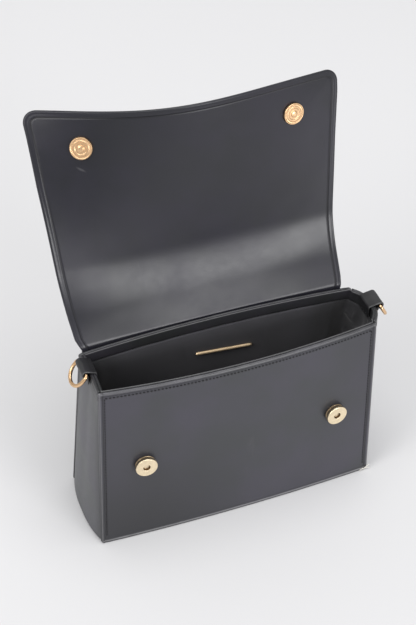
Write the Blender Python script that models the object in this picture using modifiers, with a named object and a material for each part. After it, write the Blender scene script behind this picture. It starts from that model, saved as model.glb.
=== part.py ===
"""Flap handbag with an open flap, two magnetic snaps and a ring at each end.

X runs along the width, the front faces -Y and Z is up. The origin is on the floor, at the
middle of the base. Every length is in metres and every angle in degrees.
"""
import math

import bmesh
import bpy
from mathutils import Matrix, Vector

# Body
BASE_WIDTH = 0.2398
RIM_WIDTH = 0.2326
BASE_DEPTH = 0.0756
RIM_DEPTH = 0.0474
BODY_HEIGHT = 0.1613
RIM_SHIFT = -0.0040
FRONT_BOW_BASE = 0.0035
FRONT_BOW_RIM = 0.0087
BACK_BOW_BASE = 0.0020
BACK_BOW_RIM = 0.0057
BASE_CORNER_RADIUS = 0.0035

# Gussets
RIM_BULGE = {"left": -0.0010, "right": 0.0086}
BELLY_BULGE = 0.0040
GUSSET_INSET = 0.0006
BULGE_POWER = 2.6
# Height share, share of the rim's bulge, share of the belly's bulge
GUSSET_TABLE = (
    (0.00, 0.00, 1.30),
    (0.12, 0.00, 1.15),
    (0.45, 0.15, 0.90),
    (0.80, 0.60, 0.45),
    (1.00, 1.00, 0.00),
)

# Leather, lining and the gap that every seam keeps
PANEL_WALL = 0.0022
GUSSET_WALL = 0.0018
BASE_WALL = 0.0026
FLAP_WALL = 0.0022
LINING_WALL = 0.0010
FACING_WALL = 0.0012
FACING_HEIGHT = 0.0110
SEAM_GAP = 0.0003
BASE_END_GAP = 0.0008
LINING_SLACK = 0.0007
SLOPE_ALLOWANCE = 1.03

# Flap
FLAP_LENGTH = 0.1833
FLAP_HINGE_WIDTH = 0.2197
FLAP_FREE_WIDTH = 0.2426
FLAP_SIDE_SHIFT = -0.0027
FLAP_CORNER_RADIUS = 0.0110
FLAP_TAIL = 0.0240
FLAP_FLARE = 0.0038
SWEEP_LEFT = 0.0411
SWEEP_RIGHT = 0.0028
SWEEP_SKEW = -0.04
MIDDLE_PUSH = 0.0157
PUSH_SKEW = -1.08
# Share of the free length, lean back from upright in degrees
FLAP_TABLE = (
    (0.00, 0.0),
    (0.03, 38.6),
    (0.15, 40.0),
    (0.31, 24.4),
    (0.36, 13.8),
    (0.60, 14.4),
    (1.00, 14.3),
)
# Share of the free length, shares of the flare that widen its left and right edge
FLARE_TABLE = (
    (0.00, 0.00, 0.00),
    (0.06, 0.90, 0.22),
    (0.15, 1.00, 0.16),
    (0.40, 0.90, -0.11),
    (0.70, 0.64, -0.03),
    (0.90, 0.11, 0.22),
    (1.00, 0.00, 0.00),
)

# Snaps
SNAP_DIAMETER = 0.0180
SNAP_SPACING = 0.1640
SNAP_HEIGHT = 0.0807
STUD_SIDE_SHIFT = 0.0005
CAP_SIDE_SHIFT = -0.0022
SNAP_FROM_FREE_EDGE = 0.0274
STUD_THICKNESS = 0.0050
STUD_STEP = 0.0012
SOCKET_DIAMETER = 0.0056
SOCKET_DEPTH = 0.0022
CAP_THICKNESS = 0.0020
CAP_RIM_WIDTH = 0.0009
CAP_RING_INNER = 0.0092
CAP_RING_OUTER = 0.0124
CAP_RELIEF = 0.0004
NUB_DIAMETER = 0.0052
NUB_HEIGHT = 0.0012
METAL_BEVEL = 0.0005

# Rings and the tabs that hold them
RING_INNER_WIDTH = 0.0180
RING_WIRE = 0.0025
RING_LEG = 0.0052
RING_CORNER = 0.0025
RING_LEAN = {"left": 52.0, "right": 60.0}
TAB_WIDTH = 0.0172
TAB_WALL = 0.0013
TAB_CHANNEL_RADIUS = 0.0020
TAB_OUTSIDE_DROP = 0.0090
TAB_INSIDE_DROP = 0.0090
TAB_BEHIND_MIDDLE = {"left": 0.0062, "right": 0.0027}
CHANNEL_ABOVE_RIM = {"left": 0.0012, "right": 0.0000}

# Plain bar on the lining
BAR_LENGTH = 0.0490
BAR_HEIGHT = 0.0026
BAR_THICKNESS = 0.0012
BAR_FROM_MIDDLE = 0.0081
BAR_ABOVE_FLOOR = 0.1219
BAR_TILT = 6.4
BAR_GAP = 0.0005

# Finishes: colour, roughness, metallic
FINISHES = {
    "leather_black": ((0.022, 0.022, 0.025, 1.0), 0.42, 0.0),
    "leather_gusset": ((0.026, 0.026, 0.028, 1.0), 0.46, 0.0),
    "lining_black": ((0.012, 0.012, 0.014, 1.0), 0.85, 0.0),
    "gold_plated": ((0.78, 0.52, 0.28, 1.0), 0.24, 1.0),
    "gold_pale": ((0.86, 0.72, 0.46, 1.0), 0.28, 1.0),
}

# Facets
PANEL_COLUMNS = 20
BASE_COLUMNS = 14
CORNER_ROWS = 4
PANEL_ROWS = 7
LINING_ROWS = 5
GUSSET_COLUMNS = 10
FLAP_COLUMNS = 26
TAIL_ROWS = 2
FLAP_ROWS = 20
FLAP_CORNER_ROWS = 5
TURN_STEPS = 28
RING_ARC_STEPS = 16
RING_CORNER_STEPS = 3
CHANNEL_STEPS = 10
PATH_STEPS = 200


def clear_scene():
    """Remove whatever the file holds."""
    for thing in list(bpy.data.objects):
        bpy.data.objects.remove(thing, do_unlink=True)


def collection(name):
    """A collection linked to the scene."""
    group = bpy.data.collections.new(name)
    bpy.context.scene.collection.children.link(group)
    return group


def finish(name):
    """A Principled material with one of the named finishes."""
    material = bpy.data.materials.get(name)
    if material is None:
        colour, roughness, metallic = FINISHES[name]
        material = bpy.data.materials.new(name)
        material.use_nodes = True
        shader = material.node_tree.nodes["Principled BSDF"]
        shader.inputs["Base Color"].default_value = colour
        shader.inputs["Roughness"].default_value = roughness
        shader.inputs["Metallic"].default_value = metallic
        material.diffuse_color = colour
    return material


def add_object(name, mesh, finish_name, group):
    """An object of its own for one piece."""
    mesh.name = name
    mesh.materials.clear()
    mesh.materials.append(finish(finish_name))
    piece = bpy.data.objects.new(name, mesh)
    group.objects.link(piece)
    return piece


def soften(mesh, angle=40.0):
    """Smooth shading that keeps the sharp edges."""
    mesh.shade_smooth()
    mesh.set_sharp_from_angle(angle=math.radians(angle))


def mix(first, last, share):
    """The value at a share of the way from first to last."""
    return first + (last - first) * share


def read_table(table, share, column):
    """A table's column at a share, on straight lines between its rows."""
    for low, high in zip(table, table[1:]):
        if share <= high[0]:
            part = (share - low[0]) / (high[0] - low[0])
            return mix(low[column], high[column], part)
    return table[-1][column]


def half_width(height):
    """Half of the body's width at a height."""
    return mix(BASE_WIDTH, RIM_WIDTH, height / BODY_HEIGHT) / 2


def front_y(x, height):
    """The front panel's outer face."""
    rise = height / BODY_HEIGHT
    across = x / half_width(height)
    bow = mix(FRONT_BOW_BASE, FRONT_BOW_RIM, rise) * (1 - across**2)
    return RIM_SHIFT * rise - mix(BASE_DEPTH, RIM_DEPTH, rise) / 2 - bow


def back_y(x, height):
    """The back panel's outer face."""
    rise = height / BODY_HEIGHT
    across = x / half_width(height)
    bow = mix(BACK_BOW_BASE, BACK_BOW_RIM, rise) * (1 - across**2)
    return RIM_SHIFT * rise + mix(BASE_DEPTH, RIM_DEPTH, rise) / 2 + bow


def corner_inset(height, radius=BASE_CORNER_RADIUS):
    """How far a rounded base corner stands in at a height."""
    if height >= BASE_CORNER_RADIUS:
        return BASE_CORNER_RADIUS - radius
    drop = BASE_CORNER_RADIUS - height
    return BASE_CORNER_RADIUS - math.sqrt(max(radius**2 - drop**2, 0.0))


def body_heights():
    """Heights of the panels' rows: round at the base corner, then even."""
    rows = []
    for step in range(CORNER_ROWS):
        turn = math.radians(90 * step / CORNER_ROWS)
        rows.append(BASE_CORNER_RADIUS * (1 - math.cos(turn)))
    for step in range(PANEL_ROWS + 1):
        rows.append(mix(BASE_CORNER_RADIUS, BODY_HEIGHT, step / PANEL_ROWS))
    return rows


def gusset_bulge(height, side):
    """How far a gusset's middle stands out past its edges at a height."""
    rise = height / BODY_HEIGHT
    at_rim = RIM_BULGE[side] * read_table(GUSSET_TABLE, rise, 1)
    return at_rim + BELLY_BULGE * read_table(GUSSET_TABLE, rise, 2)


def gusset_ends(height):
    """The gusset's front and back edges, a seam gap inside the two panels."""
    edge = half_width(height) - corner_inset(height) - GUSSET_INSET
    behind = PANEL_WALL * SLOPE_ALLOWANCE + SEAM_GAP
    return front_y(edge, height) + behind, back_y(edge, height) - behind


def gusset_point(share, height, side):
    """A gusset's outer face as outward distance and Y, share 0 in front."""
    front, back = gusset_ends(height)
    across = 1 - abs(2 * share - 1) ** BULGE_POWER
    edge = half_width(height) - corner_inset(height) - GUSSET_INSET
    return edge + gusset_bulge(height, side) * across, mix(front, back, share)


def gusset_inside(share, height, side, depth):
    """A point a depth inside the gusset's outer face, square to it."""
    step = 0.01
    low = gusset_point(max(share - step, 0.0), height, side)
    high = gusset_point(min(share + step, 1.0), height, side)
    along = Vector((high[0] - low[0], high[1] - low[1])).normalized()
    out, y = gusset_point(share, height, side)
    shrink = 0.0
    if height < BASE_CORNER_RADIUS:
        inner = corner_inset(height, BASE_CORNER_RADIUS - depth)
        shrink = max(inner - corner_inset(height) - depth, 0.0)
    return out - depth * along.y - shrink, y + depth * along.x


def body_loop(height, depth):
    """A closed loop inside the four walls, a depth inside their seam gaps."""
    wall = PANEL_WALL * SLOPE_ALLOWANCE + SEAM_GAP + depth
    side_wall = GUSSET_WALL + LINING_SLACK + depth
    sides = {}
    for side in ("left", "right"):
        points = []
        for step in range(GUSSET_COLUMNS + 1):
            share = mix(0.0, 1.0, step / GUSSET_COLUMNS)
            out, y = gusset_inside(share, height, side, side_wall)
            points.append((out, y))
        sides[side] = points
    loop = []
    low, high = -sides["left"][0][0], sides["right"][0][0]
    for step in range(PANEL_COLUMNS + 1):
        x = mix(low, high, step / PANEL_COLUMNS)
        loop.append(Vector((x, front_y(x, height) + wall, height)))
    for out, y in sides["right"]:
        loop.append(Vector((out, y, height)))
    low, high = -sides["left"][-1][0], sides["right"][-1][0]
    for step in range(PANEL_COLUMNS + 1):
        x = mix(high, low, step / PANEL_COLUMNS)
        loop.append(Vector((x, back_y(x, height) - wall, height)))
    for out, y in reversed(sides["left"]):
        loop.append(Vector((-out, y, height)))
    return loop


def sheet(name, columns, rows, place, wall, finish_name, group):
    """An open sheet placed row by row, with its wall on the inner side."""
    build = bmesh.new()
    bmesh.ops.create_grid(build, x_segments=columns, y_segments=rows, size=0.5)
    for vert in build.verts:
        column = round((vert.co.x + 0.5) * columns)
        row = round((vert.co.y + 0.5) * rows)
        vert.co = Vector(place(column, row))
    mesh = bpy.data.meshes.new(name)
    build.to_mesh(mesh)
    build.free()
    soften(mesh)
    piece = add_object(name, mesh, finish_name, group)
    shell = piece.modifiers.new("wall", "SOLIDIFY")
    shell.thickness = wall
    shell.offset = -1.0
    shell.use_even_offset = True
    return piece


def loft(name, loops, finish_name, group, closed=False):
    """Equal loops joined in order, capped at both ends or run round."""
    build = bmesh.new()
    rings = [[build.verts.new(point) for point in loop] for loop in loops]
    pairs = list(zip(rings, rings[1:]))
    if closed:
        pairs.append((rings[-1], rings[0]))
    for low, high in pairs:
        for here in range(len(low)):
            there = (here + 1) % len(low)
            build.faces.new((low[here], low[there], high[there], high[here]))
    if not closed:
        build.faces.new(list(reversed(rings[0])))
        build.faces.new(rings[-1])
    bmesh.ops.recalc_face_normals(build, faces=build.faces)
    mesh = bpy.data.meshes.new(name)
    build.to_mesh(mesh)
    build.free()
    soften(mesh)
    return add_object(name, mesh, finish_name, group)


def make_panels(group):
    """The front and back panels, which cover the edges of base and gussets."""
    heights = body_heights()

    def outline(column, row, direction):
        height = heights[row]
        reach = half_width(height) - corner_inset(height)
        return direction * mix(-reach, reach, column / PANEL_COLUMNS), height

    def front(column, row):
        x, height = outline(column, row, 1)
        return x, front_y(x, height), height

    def back(column, row):
        x, height = outline(column, row, -1)
        return x, back_y(x, height), height

    rows = len(heights) - 1
    sheet("front_panel", PANEL_COLUMNS, rows, front, PANEL_WALL, "leather_black", group)
    sheet("back_panel", PANEL_COLUMNS, rows, back, PANEL_WALL, "leather_black", group)


def make_gussets(group):
    """The two bulging end walls, rounded under into the base."""
    heights = body_heights()
    for side, sign in (("left", -1), ("right", 1)):

        def place(column, row, side=side, sign=sign):
            share = column / GUSSET_COLUMNS
            if sign < 0:
                share = 1 - share
            out, y = gusset_point(share, heights[row], side)
            return sign * out, y, heights[row]

        rows = len(heights) - 1
        sheet(f"gusset_{side}", GUSSET_COLUMNS, rows, place, GUSSET_WALL,
              "leather_gusset", group)


def make_base(group):
    """The flat base, whose ends follow the gussets."""
    behind = PANEL_WALL * SLOPE_ALLOWANCE + SEAM_GAP

    def place(column, row):
        share = 1 - row / GUSSET_COLUMNS
        left = gusset_point(share, 0.0, "left")[0] - BASE_END_GAP
        right = gusset_point(share, 0.0, "right")[0] - BASE_END_GAP
        x = mix(-left, right, column / BASE_COLUMNS)
        back = back_y(x, BASE_WALL) - behind
        front = front_y(x, BASE_WALL) + behind
        return x, mix(front, back, share), 0.0

    sheet("base_panel", BASE_COLUMNS, GUSSET_COLUMNS, place, BASE_WALL, "leather_black",
          group)


def make_lining(group):
    """The open lining, and the leather facing that runs round inside the rim."""
    floor = BASE_WALL + SEAM_GAP
    top = BODY_HEIGHT - FACING_HEIGHT - SEAM_GAP
    heights = [floor]
    for step in range(LINING_ROWS + 1):
        heights.append(mix(floor + LINING_WALL * 2, top, step / LINING_ROWS))
    outer = [body_loop(height, 0.0) for height in heights]
    inner = [body_loop(height, LINING_WALL) for height in reversed(heights)]
    for point in inner[-1]:
        point.z = floor + LINING_WALL
    loft("lining", outer + inner, "lining_black", group)
    low = BODY_HEIGHT - FACING_HEIGHT
    ring = [
        body_loop(low, 0.0),
        body_loop(BODY_HEIGHT, 0.0),
        body_loop(BODY_HEIGHT, FACING_WALL),
        body_loop(low, FACING_WALL),
    ]
    loft("rim_facing", ring, "leather_black", group, closed=True)


def back_lean():
    """The back panel's lean in degrees, below zero where it leans forward."""
    shift = (RIM_DEPTH - BASE_DEPTH) / 2 + RIM_SHIFT
    return math.degrees(math.atan2(shift, BODY_HEIGHT))


def flap_path():
    """Lean, run back and rise of the flap at even steps from its hinge."""
    table = ((0.0, back_lean()),) + FLAP_TABLE[1:]
    path = []
    run = rise = 0.0
    for step in range(PATH_STEPS + 1):
        lean = math.radians(read_table(table, step / PATH_STEPS, 1))
        path.append((lean, run, rise))
        run += math.sin(lean) * FLAP_LENGTH / PATH_STEPS
        rise += math.cos(lean) * FLAP_LENGTH / PATH_STEPS
    return path


FLAP_PATH = flap_path()


def flap_width(share):
    """The flap's width at a share of its free length."""
    return mix(FLAP_HINGE_WIDTH, FLAP_FREE_WIDTH, share)


def flap_point(across, along):
    """A point of the flap's inner face, across from -1 to 1, along in metres."""
    share = min(max(along / FLAP_LENGTH, 0.0), 1.0)
    left = FLAP_FLARE * read_table(FLARE_TABLE, share, 1)
    right = FLAP_FLARE * read_table(FLARE_TABLE, share, 2)
    x = FLAP_SIDE_SHIFT + across * flap_width(share) / 2
    x += right * max(across, 0.0) ** 2 - left * min(across, 0.0) ** 2
    if along <= 0.0:
        lean = math.radians(back_lean())
        height = BODY_HEIGHT + along * math.cos(lean)
        return Vector((x, back_y(x, height) + SEAM_GAP, height))
    place = share * PATH_STEPS
    step = min(int(place), PATH_STEPS - 1)
    low, high = FLAP_PATH[step], FLAP_PATH[step + 1]
    lean, run, rise = (mix(a, b, place - step) for a, b in zip(low, high))
    mean = (SWEEP_LEFT + SWEEP_RIGHT) / 2
    tilt = (SWEEP_RIGHT - SWEEP_LEFT) / 2
    sweep = mean * across**2 + tilt * mix(across, across**3, SWEEP_SKEW)
    hinge = back_y(x, BODY_HEIGHT) - back_y(RIM_WIDTH / 2, BODY_HEIGHT)
    sweep -= MIDDLE_PUSH * (1 - across**2) ** 2 * (1 + PUSH_SKEW * across)
    out = share**2 * sweep + (1 - share) ** 2 * hinge
    y = back_y(RIM_WIDTH / 2, BODY_HEIGHT) + SEAM_GAP + run + out * math.cos(lean)
    start = -hinge * math.sin(math.radians(back_lean()))
    z = BODY_HEIGHT + rise - out * math.sin(lean) - start * (1 - share) ** 2
    return Vector((x, y, z))


def flap_normal(across, along):
    """The outward direction of the flap's inner face."""
    step = 0.002
    side = flap_point(across + step, along) - flap_point(across - step, along)
    up = flap_point(across, along + step) - flap_point(across, along - step)
    return side.cross(up).normalized()


def flap_rows():
    """How far along each row of the flap lies: tail, free part, round corner."""
    rows = [mix(-FLAP_TAIL, 0.0, step / TAIL_ROWS) for step in range(TAIL_ROWS)]
    last = FLAP_LENGTH - FLAP_CORNER_RADIUS
    for step in range(FLAP_ROWS):
        rows.append(last * (step / FLAP_ROWS) ** 1.35)
    for step in range(FLAP_CORNER_ROWS + 1):
        turn = math.radians(90 * step / FLAP_CORNER_ROWS)
        rows.append(last + FLAP_CORNER_RADIUS * math.sin(turn))
    return rows


def make_flap(group):
    """The flap: one sheet from its sewn tail to its round free corners."""
    rows = flap_rows()

    def place(column, row):
        along = rows[row]
        across = mix(-1.0, 1.0, column / FLAP_COLUMNS)
        left = max(along - (FLAP_LENGTH - FLAP_CORNER_RADIUS), 0.0)
        left = min(left, FLAP_CORNER_RADIUS)
        inset = FLAP_CORNER_RADIUS - math.sqrt(FLAP_CORNER_RADIUS**2 - left**2)
        share = max(along / FLAP_LENGTH, 0.0)
        across *= 1 - inset / (flap_width(share) / 2)
        return flap_point(across, along)

    sheet("flap", FLAP_COLUMNS, len(rows) - 1, place, FLAP_WALL, "leather_black", group)


def turned(name, profile, place, normal, finish_name, group):
    """A profile of radius and height turned about its axis and seated on a face."""
    mesh = bpy.data.meshes.new(name)
    points = [(radius, 0.0, height) for radius, height in profile]
    edges = [(here, here + 1) for here in range(len(points) - 1)]
    mesh.from_pydata(points, edges, [])
    piece = add_object(name, mesh, finish_name, group)
    screw = piece.modifiers.new("turn", "SCREW")
    screw.steps = TURN_STEPS
    screw.render_steps = TURN_STEPS
    screw.use_merge_vertices = True
    screw.merge_threshold = 0.00001
    piece.location = place
    piece.rotation_euler = normal.to_track_quat("Z", "Y").to_euler()
    return piece


def stud_profile():
    """Top to bottom: socket, flat face, two steps and the flange."""
    radius = SNAP_DIAMETER / 2
    socket = SOCKET_DIAMETER / 2
    bevel = METAL_BEVEL
    neck = STUD_THICKNESS * 0.42
    return (
        (0.0, STUD_THICKNESS - SOCKET_DEPTH),
        (socket, STUD_THICKNESS - SOCKET_DEPTH),
        (socket, STUD_THICKNESS),
        (radius - bevel, STUD_THICKNESS),
        (radius, STUD_THICKNESS - bevel),
        (radius, neck),
        (radius - STUD_STEP, neck - bevel),
        (radius - STUD_STEP, bevel),
        (radius - STUD_STEP, 0.0),
        (0.0, 0.0),
    )


def cap_profile():
    """Top to bottom: nub, dished middle, raised ring, raised rim."""
    radius = SNAP_DIAMETER / 2
    nub = NUB_DIAMETER / 2
    face = CAP_THICKNESS - CAP_RELIEF
    bevel = METAL_BEVEL
    return (
        (0.0, face + NUB_HEIGHT),
        (nub - bevel, face + NUB_HEIGHT),
        (nub, face + NUB_HEIGHT - bevel),
        (nub, face),
        (CAP_RING_INNER / 2, face),
        (CAP_RING_INNER / 2 + CAP_RELIEF, CAP_THICKNESS),
        (CAP_RING_OUTER / 2, CAP_THICKNESS),
        (CAP_RING_OUTER / 2 + CAP_RELIEF, face),
        (radius - CAP_RIM_WIDTH - CAP_RELIEF, face),
        (radius - CAP_RIM_WIDTH, CAP_THICKNESS),
        (radius, CAP_THICKNESS - bevel),
        (radius, 0.0),
        (0.0, 0.0),
    )


def make_snaps(group):
    """The studs on the front panel and the caps on the flap."""
    along = FLAP_LENGTH - SNAP_FROM_FREE_EDGE
    for side, sign in (("left", -1), ("right", 1)):
        x = STUD_SIDE_SHIFT + sign * SNAP_SPACING / 2
        step = 0.001
        seat = Vector((x, front_y(x, SNAP_HEIGHT), SNAP_HEIGHT))
        side_way = Vector((2 * step, front_y(x + step, SNAP_HEIGHT)
                           - front_y(x - step, SNAP_HEIGHT), 0.0))
        up_way = Vector((0.0, front_y(x, SNAP_HEIGHT + step)
                         - front_y(x, SNAP_HEIGHT - step), 2 * step))
        normal = side_way.cross(up_way).normalized()
        turned(f"snap_stud_{side}", stud_profile(), seat + normal * SEAM_GAP, normal,
               "gold_pale", group)
        reach = CAP_SIDE_SHIFT + sign * SNAP_SPACING / 2
        across = reach / (flap_width(along / FLAP_LENGTH) / 2)
        seat = flap_point(across, along)
        normal = flap_normal(across, along)
        turned(f"snap_cap_{side}", cap_profile(), seat + normal * SEAM_GAP, normal,
               "gold_plated", group)


def tab_middle_y(side):
    """A tab's middle, a little behind the middle of the gusset's rim."""
    front, back = gusset_ends(BODY_HEIGHT)
    return (front + back) / 2 + TAB_BEHIND_MIDDLE[side]


def channel_place(side):
    """Outward distance and height of the axis that a ring turns on."""
    out = gusset_point(0.5, BODY_HEIGHT, side)[0]
    out += SEAM_GAP + TAB_WALL + TAB_CHANNEL_RADIUS
    return out, BODY_HEIGHT + CHANNEL_ABOVE_RIM[side]


def tab_outline(side):
    """The tab's cross-section as outward distance and height, counterclockwise."""
    out, height = channel_place(side)
    outer = TAB_CHANNEL_RADIUS + TAB_WALL
    face_low = gusset_point(0.5, BODY_HEIGHT - TAB_OUTSIDE_DROP, side)[0]
    face_rim = gusset_point(0.5, BODY_HEIGHT, side)[0]
    front, back = gusset_ends(BODY_HEIGHT)
    spread = abs(TAB_BEHIND_MIDDLE[side]) + TAB_WIDTH / 2
    drop = gusset_bulge(BODY_HEIGHT, side) * (2 * spread / (back - front)) ** BULGE_POWER
    wall = GUSSET_WALL + LINING_SLACK + FACING_WALL
    inside = face_rim - max(drop, 0.0) - wall * SLOPE_ALLOWANCE - SEAM_GAP
    rest = max(face_low, face_rim) + SEAM_GAP
    over = BODY_HEIGHT + SEAM_GAP
    foot = BODY_HEIGHT - TAB_OUTSIDE_DROP
    outline = [(inside, BODY_HEIGHT - TAB_INSIDE_DROP), (inside, over)]
    # The channel's wall, from over the rim round the ring's bar and back
    for step in range(CHANNEL_STEPS + 1):
        turn = math.radians(mix(150.0, -150.0, step / CHANNEL_STEPS))
        outline.append((out + TAB_CHANNEL_RADIUS * math.cos(turn),
                        height + TAB_CHANNEL_RADIUS * math.sin(turn)))
    outline += [(rest, height - outer), (rest, foot), (rest + TAB_WALL, foot)]
    for step in range(CHANNEL_STEPS + 1):
        turn = math.radians(mix(-110.0, 90.0, step / CHANNEL_STEPS))
        outline.append((out + outer * math.cos(turn), height + outer * math.sin(turn)))
    outline += [(inside, over + TAB_WALL), (inside - TAB_WALL, over),
                (inside - TAB_WALL, BODY_HEIGHT - TAB_INSIDE_DROP)]
    return outline


def make_tabs(group):
    """The leather loops over the gussets' rims, each round a ring's bar."""
    for side, sign in (("left", -1), ("right", 1)):
        curve = bpy.data.curves.new(f"tab_{side}", "CURVE")
        curve.dimensions = "2D"
        curve.fill_mode = "BOTH"
        curve.extrude = TAB_WIDTH / 2
        outline = tab_outline(side)
        spline = curve.splines.new("POLY")
        spline.points.add(len(outline) - 1)
        for point, (out, height) in zip(spline.points, outline):
            point.co = (sign * out, height, 0.0, 1.0)
        spline.use_cyclic_u = True
        flat = bpy.data.objects.new(f"tab_{side}_outline", curve)
        group.objects.link(flat)
        flat.location = (0.0, tab_middle_y(side), 0.0)
        flat.rotation_euler = (math.radians(90.0), 0.0, 0.0)
        bpy.context.view_layer.update()
        curve_to_piece(flat, f"tab_{side}", "leather_black", group)


def curve_to_piece(source, name, finish_name, group):
    """A closed mesh piece made from a curve object, which is then removed."""
    graph = bpy.context.evaluated_depsgraph_get()
    mesh = bpy.data.meshes.new_from_object(source.evaluated_get(graph))
    build = bmesh.new()
    build.from_mesh(mesh)
    bmesh.ops.remove_doubles(build, verts=build.verts, dist=0.000001)
    bmesh.ops.recalc_face_normals(build, faces=build.faces)
    build.to_mesh(mesh)
    build.free()
    soften(mesh)
    piece = add_object(name, mesh, finish_name, group)
    piece.matrix_world = source.matrix_world.copy()
    bpy.data.objects.remove(source, do_unlink=True)
    return piece


def ring_outline():
    """The ring's centre line: bar on the axis, round corners, legs and arc."""
    half = (RING_INNER_WIDTH + RING_WIRE) / 2
    points = []
    for step in range(RING_CORNER_STEPS + 1):
        turn = math.radians(90 * step / RING_CORNER_STEPS)
        points.append((half - RING_CORNER + RING_CORNER * math.sin(turn),
                       RING_CORNER - RING_CORNER * math.cos(turn)))
    for step in range(RING_ARC_STEPS + 1):
        turn = math.radians(180 * step / RING_ARC_STEPS)
        points.append((half * math.cos(turn), RING_LEG + half * math.sin(turn)))
    for step in range(RING_CORNER_STEPS + 1):
        turn = math.radians(90 - 90 * step / RING_CORNER_STEPS)
        points.append((-half + RING_CORNER - RING_CORNER * math.sin(turn),
                       RING_CORNER - RING_CORNER * math.cos(turn)))
    return points


def make_rings(group):
    """The rings, each with its origin on the axis that it swings about."""
    for side, sign in (("left", -1), ("right", 1)):
        curve = bpy.data.curves.new(f"ring_{side}", "CURVE")
        curve.dimensions = "3D"
        curve.bevel_depth = RING_WIRE / 2
        curve.bevel_resolution = 2
        points = ring_outline()
        spline = curve.splines.new("POLY")
        spline.points.add(len(points) - 1)
        for point, (across, down) in zip(spline.points, points):
            point.co = (0.0, across, -down, 1.0)
        spline.use_cyclic_u = True
        wire = bpy.data.objects.new(f"ring_{side}_line", curve)
        group.objects.link(wire)
        out, height = channel_place(side)
        wire.location = (sign * out, tab_middle_y(side), height)
        wire.rotation_euler = (0.0, sign * math.radians(RING_LEAN[side] - 90.0), 0.0)
        bpy.context.view_layer.update()
        curve_to_piece(wire, f"ring_{side}", "gold_plated", group)


def make_bar(group):
    """The plain bar on the lining's back wall."""
    height = BAR_ABOVE_FLOOR
    inside = PANEL_WALL * SLOPE_ALLOWANCE + SEAM_GAP + LINING_WALL
    bar_y = back_y(BAR_FROM_MIDDLE, height) - inside - BAR_GAP - BAR_THICKNESS / 2
    bpy.ops.mesh.primitive_cube_add(size=1.0)
    block = bpy.context.object
    mesh = block.data.copy()
    bpy.data.objects.remove(block, do_unlink=True)
    mesh.transform(Matrix.Diagonal((BAR_LENGTH, BAR_THICKNESS, BAR_HEIGHT, 1.0)))
    piece = add_object("bar_plate", mesh, "gold_plated", group)
    piece.location = (BAR_FROM_MIDDLE, bar_y, height)
    piece.rotation_euler = (math.radians(-back_lean()), math.radians(BAR_TILT), 0.0)


def main():
    """Build every piece of the bag."""
    clear_scene()
    group = collection("handbag")
    make_base(group)
    make_panels(group)
    make_gussets(group)
    make_lining(group)
    make_flap(group)
    make_snaps(group)
    make_tabs(group)
    make_rings(group)
    make_bar(group)


main()
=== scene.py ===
"""Leather, lining, metal and stage of a small black flap bag that stands open.

Lengths are in metres. X runs along the width, the front faces -Y and Z is up.
"""

import math

import bpy
import numpy as np
from bpy.props import FloatProperty, FloatVectorProperty, IntProperty, PointerProperty
from mathutils import Matrix, Vector, noise


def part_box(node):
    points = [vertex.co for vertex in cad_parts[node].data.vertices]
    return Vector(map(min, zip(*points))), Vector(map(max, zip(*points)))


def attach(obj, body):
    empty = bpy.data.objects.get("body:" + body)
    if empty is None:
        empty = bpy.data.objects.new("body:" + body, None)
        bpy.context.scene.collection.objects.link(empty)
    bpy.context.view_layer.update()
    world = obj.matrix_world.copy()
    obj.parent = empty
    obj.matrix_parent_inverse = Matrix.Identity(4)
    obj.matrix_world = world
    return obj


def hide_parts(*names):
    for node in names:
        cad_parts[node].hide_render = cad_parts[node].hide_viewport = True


bl_info = {
    "name": "Open flap bag",
    "version": (1, 0, 0),
    "blender": (4, 5, 0),
    "location": "3D View > Sidebar > Bag",
    "description": "Builds the leather, lining, metal and stage of a flap bag",
    "category": "Object",
}

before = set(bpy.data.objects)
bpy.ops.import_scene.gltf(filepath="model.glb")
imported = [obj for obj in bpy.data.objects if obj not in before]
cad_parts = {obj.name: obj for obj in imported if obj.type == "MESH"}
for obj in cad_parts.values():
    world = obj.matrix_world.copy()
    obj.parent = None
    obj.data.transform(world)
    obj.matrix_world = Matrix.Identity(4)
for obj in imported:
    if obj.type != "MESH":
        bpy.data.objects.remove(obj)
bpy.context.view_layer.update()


# Sizes and colours that a user would change

def length(name, description, default):
    """A length in metres."""
    return FloatProperty(name=name, description=description, default=default,
                         unit="LENGTH", precision=5)


def colour(name, description, default):
    """A linear colour."""
    return FloatVectorProperty(name=name, description=description, default=default,
                               subtype="COLOR", size=3, min=0.0, max=1.0)


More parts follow.
